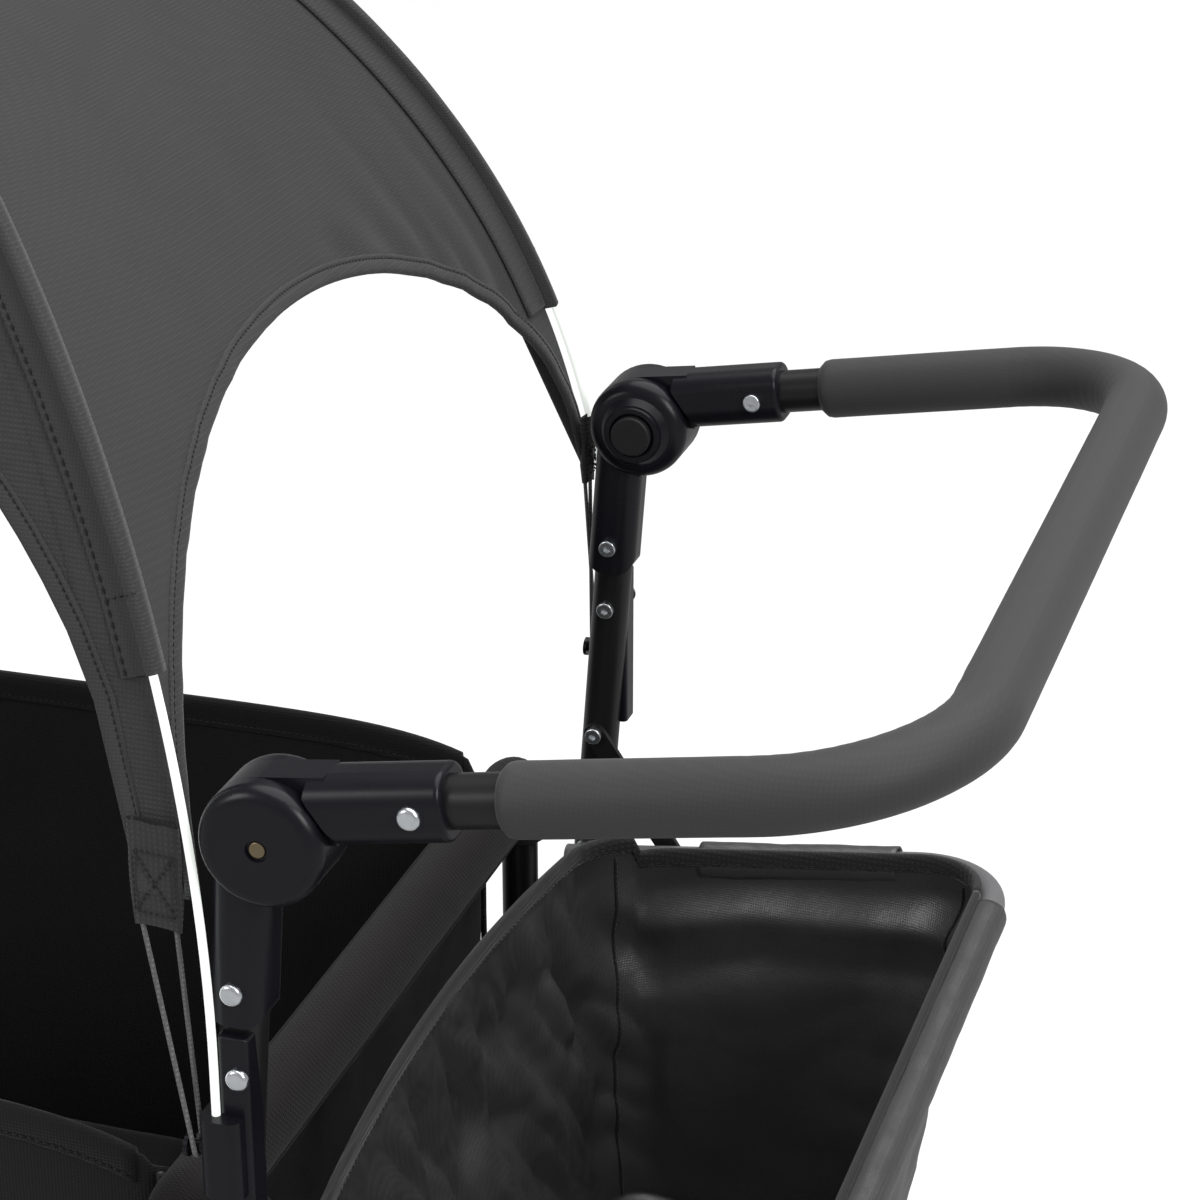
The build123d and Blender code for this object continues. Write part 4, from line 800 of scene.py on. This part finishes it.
def foam_shape(i, angle):
    p = route[i]
    n = len(route)
    end = min(i, n - 1 - i)
    in_bend = 38 <= i <= 82 or n - 83 <= i <= n - 39
    inner = max(0.0, cos(angle - pi)) if in_bend else 0.0
    r = 1.0 + 0.004 * wave((p.x, p.y, angle * 0.02), 0.05, 1)
    r += 0.010 * inner * sin(i * 2.1 + 2 * wave(p, 0.03, 2))
    r += 0.003 * wave((p.x, p.y, p.z + sin(angle) * 0.01), 0.012, 3)
    if end < 2:
        r *= (0.80, 0.965)[end]
    return r


foam = tube("foam_grip_sleeve", route, 0.0165, FOAM, sides=40, shape=foam_shape, up=bar_up)
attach(foam, "push_handle")
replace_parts(foam, "foam_grip")

# ---- fabric tub
TX0, TX1, TY = FRONT_X + 0.015, HOOP_X - 0.015, 0.227
TUB_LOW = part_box("tub_fabric")[0].z
TUB_RIM, RIM_RISE = 0.574, 0.0215      # at the rails, and how much the side rims stand above them


def rounded_loop(x0, x1, half, radius, per_x, per_y, per_corner):
    """(x, y, outward) round a rounded rectangle, starting at the rear left corner's end."""
    pts = []
    corners = (((x1 - radius), (half - radius), 0), ((x0 + radius), (half - radius), 90),
               ((x0 + radius), (-half + radius), 180), ((x1 - radius), (-half + radius), 270))
    for c, (cx, cy, turn) in enumerate(corners):
        for k in range(per_corner + 1):
            a = radians(turn + 90 * k / per_corner)
            pts.append((cx + radius * cos(a), cy + radius * sin(a), cos(a), sin(a)))
        nxt = corners[(c + 1) % 4]
        n = per_x if c in (0, 2) else per_y
        a = radians(turn + 90)
        ex, ey = cx + radius * cos(a), cy + radius * sin(a)
        a2 = radians(nxt[2])
        fx, fy = nxt[0] + radius * cos(a2), nxt[1] + radius * sin(a2)
        for k in range(1, n):
            f = k / n
            pts.append((ex + (fx - ex) * f, ey + (fy - ey) * f, cos(a), sin(a)))
    return pts


loop = rounded_loop(TX0, TX1, TY, 0.014, 96, 60, 5)
tub_rows = []
DEPTH = 46
for i in range(DEPTH + 1):
    f = i / DEPTH
    row = []
    for x, y, nx, ny in loop:
        along_x = (x - TX0) / (TX1 - TX0)
        side_wall = abs(ny) > 0.9
        rise = -0.008 * (1 - abs(ny))
        if side_wall:
            rise = RIM_RISE * (1 - exp(-min(x - TX0, TX1 - x) / 0.045))
        rim = TUB_RIM + rise - 0.003 * sin(pi * along_x) ** 2
        z = TUB_LOW + (rim - TUB_LOW) * f
        slack = sin(pi * f) ** 0.6
        corner = min(abs(x - TX0), abs(x - TX1)) if side_wall else TY - abs(y)
        taut = min(1.0, corner / 0.10)
        out = 0.0045 * wave((x, y, z * 0.45), 0.11, 1) * slack * taut
        out += 0.0022 * wave((x, y, z), 0.05, 2) * slack
        out += 0.0012 * (crease((x * 0.8, y, z * 0.8), 0.07, 3) - 0.5) * slack
        if side_wall:
            out -= 0.004 * sin(pi * along_x) * f
        row.append(Vector((x + nx * (out - 0.0012), y + ny * (out - 0.0012), z)))
    tub_rows.append(row)
tub = grid("tub_shell", tub_rows, TUB, close_cols=True)
cap(tub, reversed(range(len(loop))))
thicken(tub, 0.0014)
tub_piece(tub)
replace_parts(tub, "tub_fabric")

# The hem along both side rims.
rim_parts, rim_threads = [], []
hem_profile = [(-0.0022, -0.0005), (-0.0018, 0.0010), (0.001, 0.0020), (0.0125, 0.0019), (0.013, 0.0012),
               (0.0136, 0.0018), (0.0160, 0.0016), (0.0162, -0.0006), (0.0160, -0.0030), (0.0136, -0.0031),
               (0.013, -0.0025), (0.0125, -0.0032), (0.001, -0.0034), (-0.0018, -0.0024)]
for side in (1, -1):
    edges = []
    for (x, y, nx, ny), p in zip(loop, tub_rows[DEPTH]):
        if ny * side > EDGE_SPLIT:
            edges.append((p.copy(), Vector((0, 0, -1)), Vector((0, side, 0))))
    edges.sort(key=lambda e: e[0].x)
    seam = [p + d * 0.013 + o * 0.0021 for p, d, o in edges]
    seam_in = [p + d * 0.013 - o * 0.0030 for p, d, o in edges]
    rim_parts.append(strip("hem", edges, hem_profile, TUB))
    rim_threads.append(stitches("t", seam, Vector((0, side, 0)), THREAD))
    rim_threads.append(stitches("t", seam_in, Vector((0, -side, 0)), THREAD))
tub_piece(join("tub_side_hems", rim_parts))
tub_piece(join("tub_hem_stitches", rim_threads))

# Corner seams, piped.
pipes = []
for x in (TX0 + 0.004, TX1 - 0.004):
    for side in (1, -1):
        pts = [Vector((x + (0.0022 if x > MID_X else -0.0022) + 0.0004 * wave((x, side, z), 0.03, 4),
                       side * (TY - 0.0024), z)) for z in np.linspace(TUB_LOW + 0.004, TUB_RIM - 0.004, 60)]
        pipes.append(tube("pipe", pts, 0.0020, WEBBING, sides=8, up=Vector((1, 0, 0))))
tub_piece(join("tub_corner_piping", pipes))

# Floor boards and the padded mat.
boards_low, boards_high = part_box("floor_boards")
board_parts = []
gap = 0.003
span = (boards_high.x - boards_low.x - 3 * gap) / 4
for k in range(4):
    x0 = boards_low.x + k * (span + gap)
    rows = []
    for inset, z in ((0.0015, boards_low.z), (0.0, boards_low.z + 0.0012),
                     (0.0, boards_high.z - 0.0012), (0.0015, boards_high.z)):
        rows.append([Vector((x, y, z)) for x, y, _, _ in
                     rounded_loop(x0 + inset, x0 + span - inset, boards_high.y - inset, 0.006, 12, 16, 4)])
    b = grid("board", rows, BOARD, close_cols=True)
    m = len(rows[0])
    cap(b, reversed(range(m)), range(3 * m, 4 * m))
    board_parts.append(b)
boards = join("floor_board_panels", board_parts)
tub_piece(boards)
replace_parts(boards, "floor_boards")

mat_low, mat_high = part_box("floor_mat")
NX, NY = 120, 72


def mat_height(x, y):
    """Quilted top: three cross channels where the mat folds, crowned between them."""
    ex = min(x - mat_low.x, mat_high.x - x)
    ey = min(y - mat_low.y, mat_high.y - y)
    edge = 1 - exp(-min(ex, ey) / 0.006)
    channel = 0.0
    for k in (1, 2, 3):
        cx = mat_low.x + (mat_high.x - mat_low.x) * k / 4
        channel += exp(-((x - cx) / 0.006) ** 2)
    soft = 0.0012 * wave((x, y, 0), 0.09, 3) + 0.0005 * wave((x, y, 0), 0.03, 5)
    return (mat_high.z - mat_low.z - 0.003) * edge * (1 - 0.45 * channel) + soft * edge


top = [[Vector((x, y, mat_low.z + 0.0006 + mat_height(x, y)))
        for y in np.linspace(mat_low.y, mat_high.y, NY + 1)]
       for x in np.linspace(mat_low.x, mat_high.x, NX + 1)]
mat_obj = grid("floor_mat_pad", top, MAT)
bm = bmesh.new()
bm.from_mesh(mat_obj.data)
rim = [e for e in bm.edges if e.is_boundary]
base = bmesh.ops.extrude_edge_only(bm, edges=rim)["geom"]
for v in [g for g in base if isinstance(g, bmesh.types.BMVert)]:
    v.co.z = mat_low.z
loose = [e for e in bm.edges if e.is_boundary]
bmesh.ops.contextual_create(bm, geom=loose)
bmesh.ops.recalc_face_normals(bm, faces=bm.faces)
bm.to_mesh(mat_obj.data)
bm.free()
tub_piece(mat_obj)
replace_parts(mat_obj, "floor_mat")


# ---- rail sleeves
SEAM_TURN = 0.62         # the seam's place round the rail, from straight down towards the outside


def rail_sleeve(x, inside, name):
    """Woven sleeve over the rail and its bends, baggy at the ends, with a sewn seam underneath."""
    pts = []
    R = 0.020             # the cloth makes a squarer corner than the tube inside it
    for z in np.linspace(0.523, RAIL_Z - R, 14):
        pts.append(Vector((x, -LEG_Y, z)))
    for a in np.linspace(0, pi / 2, 16)[1:]:
        pts.append(Vector((x, -LEG_Y + R - R * cos(a), RAIL_Z - R + R * sin(a))))
    left = [Vector((p.x, -p.y, p.z)) for p in reversed(pts)]
    mid = [pts[-1].lerp(left[0], f) for f in np.linspace(0, 1, 90)[1:-1]]
    pts = pts + mid + left
    n = len(pts)

    def shape(i, angle):
        p = pts[i]
        near_end = min(i, n - 1 - i)
        baggy = exp(-((near_end - 20) / 9) ** 2)
        leg = max(0.0, 1 - near_end / 13)
        turn = remainder(angle - SEAM_TURN * -inside, 2 * pi)
        level = min(1.0, max(0.0, (LEG_Y - 0.012 - abs(p.y)) / 0.03))
        r = 1.05 + 0.16 * baggy * (0.5 + 0.5 * cos(angle + 2.4)) + 0.04 * leg
        r += 0.42 * level * exp(-(turn / 0.62) ** 2)
        r += 0.50 * exp(-((near_end - 20) / 10) ** 2) * max(0.0, cos(angle))
        r += 0.022 * wave((p.x, p.y, p.z + 0.02 * sin(angle)), 0.03, 1)
        r += 0.035 * baggy * wave((p.x + 0.02 * cos(angle), p.y, p.z + 0.02 * sin(angle)), 0.014, 2)
        r += 0.012 * wave((p.x + 0.01 * cos(angle), p.y * 0.5, angle * 0.01), 0.009, 3)
        return r

    body = tube(name, pts, 0.0145, SLEEVE, sides=36, shape=shape, up=Vector((1, 0, 0)), caps=False)
    seam, outs = [], []
    down = Vector((-inside * sin(SEAM_TURN), 0, -cos(SEAM_TURN)))
    beside = Vector((-inside * cos(SEAM_TURN), 0, sin(SEAM_TURN)))
    for i in range(16, n - 16):
        p = pts[i]
        if abs(p.y) > LEG_Y - R:
            continue
        seam.append(p + down * 0.0185 + beside * 0.0068)
        outs.append((down * 0.35 + beside).normalized())
    sewn = stitches(name + "_stitches", seam, outs, THREAD)
    rib_route = [q + down * 0.0040 - beside * 0.0060 for q in seam]
    rib = tube(name + "_rib", rib_route, 0.0016, SLEEVE, sides=8, up=Vector((1, 0, 0)))
    return body, sewn, rib


for x, inside, name, body_name, cad in ((HOOP_X, -1, "rear_rail_cover", "rear_frame", "rear_rail_sleeve"),
                                        (FRONT_X, 1, "front_rail_cover", "front_frame", "front_rail_sleeve")):
    cover, sewn, rib = rail_sleeve(x, inside, name)
    for piece in (cover, sewn, rib):
        ride_as(piece, body_name)
    thicken(cover, 0.0012)
    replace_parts(cover, cad)

# ---- rear bag
BAG_SLOPE = tan(radians(7.7))


def bag_tube_z(x):
    """Height of the bag's carrying tube."""
    return 0.512 + (x - (REAR_X - 0.0211)) * BAG_SLOPE


FX, BX = REAR_X - 0.004, REAR_X + 0.2335
BAG_HALF, BAG_LOW = 0.2365, 0.293
bag_loop = rounded_loop(FX, BX, BAG_HALF, 0.045, 60, 110, 14)
BAG_DEPTH = 64
bag_rows = []
for i in range(BAG_DEPTH + 1):
    f = i / BAG_DEPTH                       # 0 at the rim, 1 at the bottom
    row = []
    for x, y, nx, ny in bag_loop:
        along = (x - FX) / (BX - FX)
        front = max(0.0, -nx)
        rim_z = bag_tube_z(x) + 0.010
        bow = max(0.0, cos(pi * y / (2 * BAG_HALF))) ** 0.8
        if front > 0.5:
            rim_z = 0.5375 + 0.012 * bow
        low = BAG_LOW + 0.010 * ((x - (FX + BX) / 2) / 0.12) ** 2 + 0.004 * wave((x, y, 0), 0.12, 2)
        z = rim_z + (low - rim_z) * f
        shrink = f ** 1.2
        cx = (FX + BX) / 2 - 0.014 * shrink
        px = cx + (x - (FX + BX) / 2) * (1 - 0.20 * shrink) - front * bow * (0.017 * (1 - f) - 0.016 * f)
        py = y * (1 - 0.085 * shrink)
        loose = sin(pi * min(1, f * 1.02)) ** 0.7
        q = (x * 1.6, y * 1.6, z * 0.75)
        slant = (y * 1.3 + z * 0.8, z * 0.35 - y * 0.25, x)
        out = 0.0060 * wave(q, 0.11, 1) * loose
        out += front * loose * (0.0150 * (crease(slant, 0.085, 2) - 0.45)
                                + 0.0070 * (crease(slant, 0.034, 4) - 0.5)
                                + 0.0018 * wave((y, z, x), 0.016, 6))
        out += (1 - front) * loose * (0.0016 * (crease((x, y, z * 2.0), 0.09, 2) - 0.45)
                                      + 0.0006 * wave((x, y, z), 0.02, 4))
        drop = (rim_z - z) / 0.001
        ripple = 5 * wave((x, y, 0), 0.09, 8)
        far = (1 - front)
        out += far * 0.0028 * exp(-((drop - 22 - ripple) / 10) ** 2)
        out -= far * 0.0048 * exp(-((drop - 46 - ripple) / 9) ** 2)
        out += far * 0.0030 * exp(-((drop - 74 - ripple) / 12) ** 2)
        out += 0.006 * front * sin(pi * f)
        row.append(Vector((px + nx * (out - 0.001), py + ny * (out - 0.001), z)))
    bag_rows.append(row)
bag = grid("bag_shell", bag_rows, BAG, close_cols=True)
bm = bmesh.new()
bm.from_mesh(bag.data)
bm.verts.ensure_lookup_table()
m = len(bag_loop)
ring = [bm.verts[BAG_DEPTH * m + k] for k in range(m)]
centre_xy = sum((v.co for v in ring), Vector()) / m
previous = ring
for step in range(1, 15):
    g = 1 - step / 15
    fresh = []
    for v in ring:
        p = centre_xy + (v.co - centre_xy) * g
        p.z = v.co.z * g + (BAG_LOW + 0.001) * (1 - g) + 0.003 * wave((p.x, p.y, 0), 0.05, 7) * (1 - g)
        fresh.append(bm.verts.new(p))
    for k in range(m):
        bm.faces.new((previous[k], previous[(k + 1) % m], fresh[(k + 1) % m], fresh[k]))
    previous = fresh
bm.faces.new(previous)
bmesh.ops.recalc_face_normals(bm, faces=bm.faces)
for face in bm.faces:
    face.smooth = True
bm.to_mesh(bag.data)
bm.free()
thicken(bag, 0.0010)


def bag_piece(piece):
    return ride_as(piece, "rear_frame")


bag_piece(bag)
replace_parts(bag, "storage_bag")


# Webbing bound over the rim, with two rows of stitches.
rim_edges = []
for (x, y, nx, ny), p in zip(bag_loop, bag_rows[0]):
    rim_edges.append((p + Vector((0, 0, 0.0006)), Vector((0, 0, -1)), Vector((nx, ny, 0))))
rim_edges.append(rim_edges[0])
rim_profile = [(-0.0024, -0.0006), (-0.0018, 0.0014), (0.0004, 0.0022), (0.0070, 0.0020), (0.0086, 0.0014),
               (0.0088, 0.0), (0.0086, -0.0022), (0.0070, -0.0028), (0.0004, -0.0030), (-0.0018, -0.0022)]
bag_piece(strip("bag_rim_binding", rim_edges, rim_profile, WEBBING))
bag_threads = []
for sign_out, proud in ((1, 0.0023), (-1, -0.0030)):
    line = [p + d * 0.0066 + o * proud for p, d, o in rim_edges]
    outs = [o * sign_out for _, _, o in rim_edges]
    bag_threads.append(stitches("t", line, outs, THREAD, pitch=0.0050, length=0.0034))

# Sleeves that carry the bag on its tube: along both sides and across the back.
CROSS_X, ARM_Y, TUBE_BEND = REAR_X + 0.240, 0.2455, 0.055


def sleeve_on_tube(points, name):
    def shape(i, angle):
        p = points[i]
        r = 1.0 + 0.05 * wave((p.x + 0.01 * cos(angle), p.y, p.z + 0.01 * sin(angle)), 0.022, 3)
        return r + 0.03 * wave((p.x, p.y * 0.6, p.z + 0.02 * sin(angle)), 0.010, 5)
    return tube(name, points, 0.0103, BAG, sides=24, shape=shape, caps=False)


carriers = []
for side in (1, -1):
    pts = [Vector((x, side * ARM_Y, bag_tube_z(x))) for x in np.linspace(REAR_X + 0.056, REAR_X + 0.176, 40)]
    carriers.append(sleeve_on_tube(pts, "carrier"))
cross_end = ARM_Y - TUBE_BEND - 0.006
pts = [Vector((CROSS_X, y, bag_tube_z(CROSS_X))) for y in np.linspace(-cross_end, cross_end, 110)]
carriers.append(sleeve_on_tube(pts, "carrier"))
carriers = join("bag_tube_sleeves", carriers)
thicken(carriers, 0.0009)
bag_piece(carriers)

# Upright corner seams inside the bag, where the outward direction is diagonal.
seams = []
for k, (x, y, nx, ny) in enumerate(bag_loop):
    if abs(abs(nx) - abs(ny)) < 0.08:
        outwards = Vector((nx, ny, 0))
        line = [bag_rows[i][k] - outwards * 0.0014 for i in range(3, BAG_DEPTH)]
        seams.append(tube("seam", line, 0.0011, WEBBING, sides=6, up=outwards))
bag_piece(join("bag_corner_seams", seams))
bag_piece(join("bag_stitches", bag_threads))

# Return springs behind the buttons, one piece for each side, carried by the rear frame.
for side, joint_name in ((1, "button_left_press"), (-1, "button_right_press")):
    cad = NODES["hub_springs"].data
    keep = [v.index for v in cad.vertices if v.co.y * side > 0]
    mapping = {old: new for new, old in enumerate(keep)}
    faces = [[mapping[i] for i in f.vertices] for f in cad.polygons if all(i in mapping for i in f.vertices)]
    mesh = bpy.data.meshes.new("spring")
    mesh.from_pydata([cad.vertices[i].co.copy() for i in keep], [], faces)
    coil = link("hub_spring_left" if side > 0 else "hub_spring_right", mesh, SPRING)
    ride_as(coil, "rear_frame")
    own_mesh(coil)
    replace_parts(coil, "hub_springs")


# ---- stage, lights, camera
def two_ways(tree, light, seen, output):
    """The surface looks like seen to the camera, and lights the object like light."""
    mix = node(tree, "ShaderNodeMixShader")
    ray = node(tree, "ShaderNodeLightPath").outputs["Is Camera Ray"]
    for socket, way in zip(mix.inputs, (ray, light.outputs[0], seen.outputs[0])):
        tree.links.new(way, socket)
    tree.links.new(mix.outputs[0], tree.nodes[output].inputs["Surface"])


floor_mesh = bpy.data.meshes.new("floor")
corners = [(x, y, -0.0005) for x, y in ((-8, -8), (8, -8), (8, 8), (-8, 8))]
floor_mesh.from_pydata(corners, [], [(0, 1, 2, 3)])
floor_mat, floor_tree, floor_shader = material("studio_floor", (0.94, 0.94, 0.94), 0.6)
soft_bounce = node(floor_tree, "ShaderNodeBsdfDiffuse", Color=(0.36, 0.36, 0.36, 1))
two_ways(floor_tree, soft_bounce, floor_shader, "Material Output")
floor = link("floor", floor_mesh, floor_mat, smooth=False)

world = bpy.data.worlds.new("studio")
bpy.context.scene.world = world
world.use_nodes = True
sky = world.node_tree
white = node(sky, "ShaderNodeBackground", Color=(1.0, 1.0, 1.0, 1), Strength=1.05)
room = node(sky, "ShaderNodeBackground", Color=(1.0, 1.0, 1.0, 1), Strength=0.34)
two_ways(sky, room, white, "World Output")


def area_light(name, place, target, size, power):
    data = bpy.data.lights.new(name, "AREA")
    data.shape = "RECTANGLE"
    data.size, data.size_y = size
    data.energy = power
    lamp = link(name, data, smooth=False)
    lamp.location = place
    lamp.rotation_euler = (Vector(target) - Vector(place)).to_track_quat("-Z", "Y").to_euler()


area_light("key", (2.7, -1.5, 2.5), (0.25, 0.0, 0.75), (1.2, 1.5), 44)
area_light("left_fill", (-2.0, -2.4, 2.3), (0.2, 0.0, 0.7), (1.4, 1.4), 30)
sun_data = bpy.data.lights.new("overhead", "SUN")
sun_data.angle = radians(70)
sun_data.energy = 2.4
sun = link("overhead", sun_data, smooth=False)
sun.rotation_euler = (radians(-14), radians(10), 0)

camera_data = bpy.data.cameras.new("camera")
camera_data.sensor_width = 36
camera_data.lens = 95.04
camera_data.shift_y = -0.0071
camera = link("camera", camera_data, smooth=False)
camera.location = (REAR_X + 0.51448, -1.37635, PIVOT_Z + 0.61633)
AZIMUTH, ELEVATION = radians(17.88), radians(23.11)
camera.rotation_euler = (
    Matrix.Rotation(AZIMUTH, 4, "Z") @ Matrix.Rotation(pi / 2 - ELEVATION, 4, "X")
).to_euler()
bpy.context.scene.camera = camera
bpy.context.scene.view_settings.view_transform = "Standard"
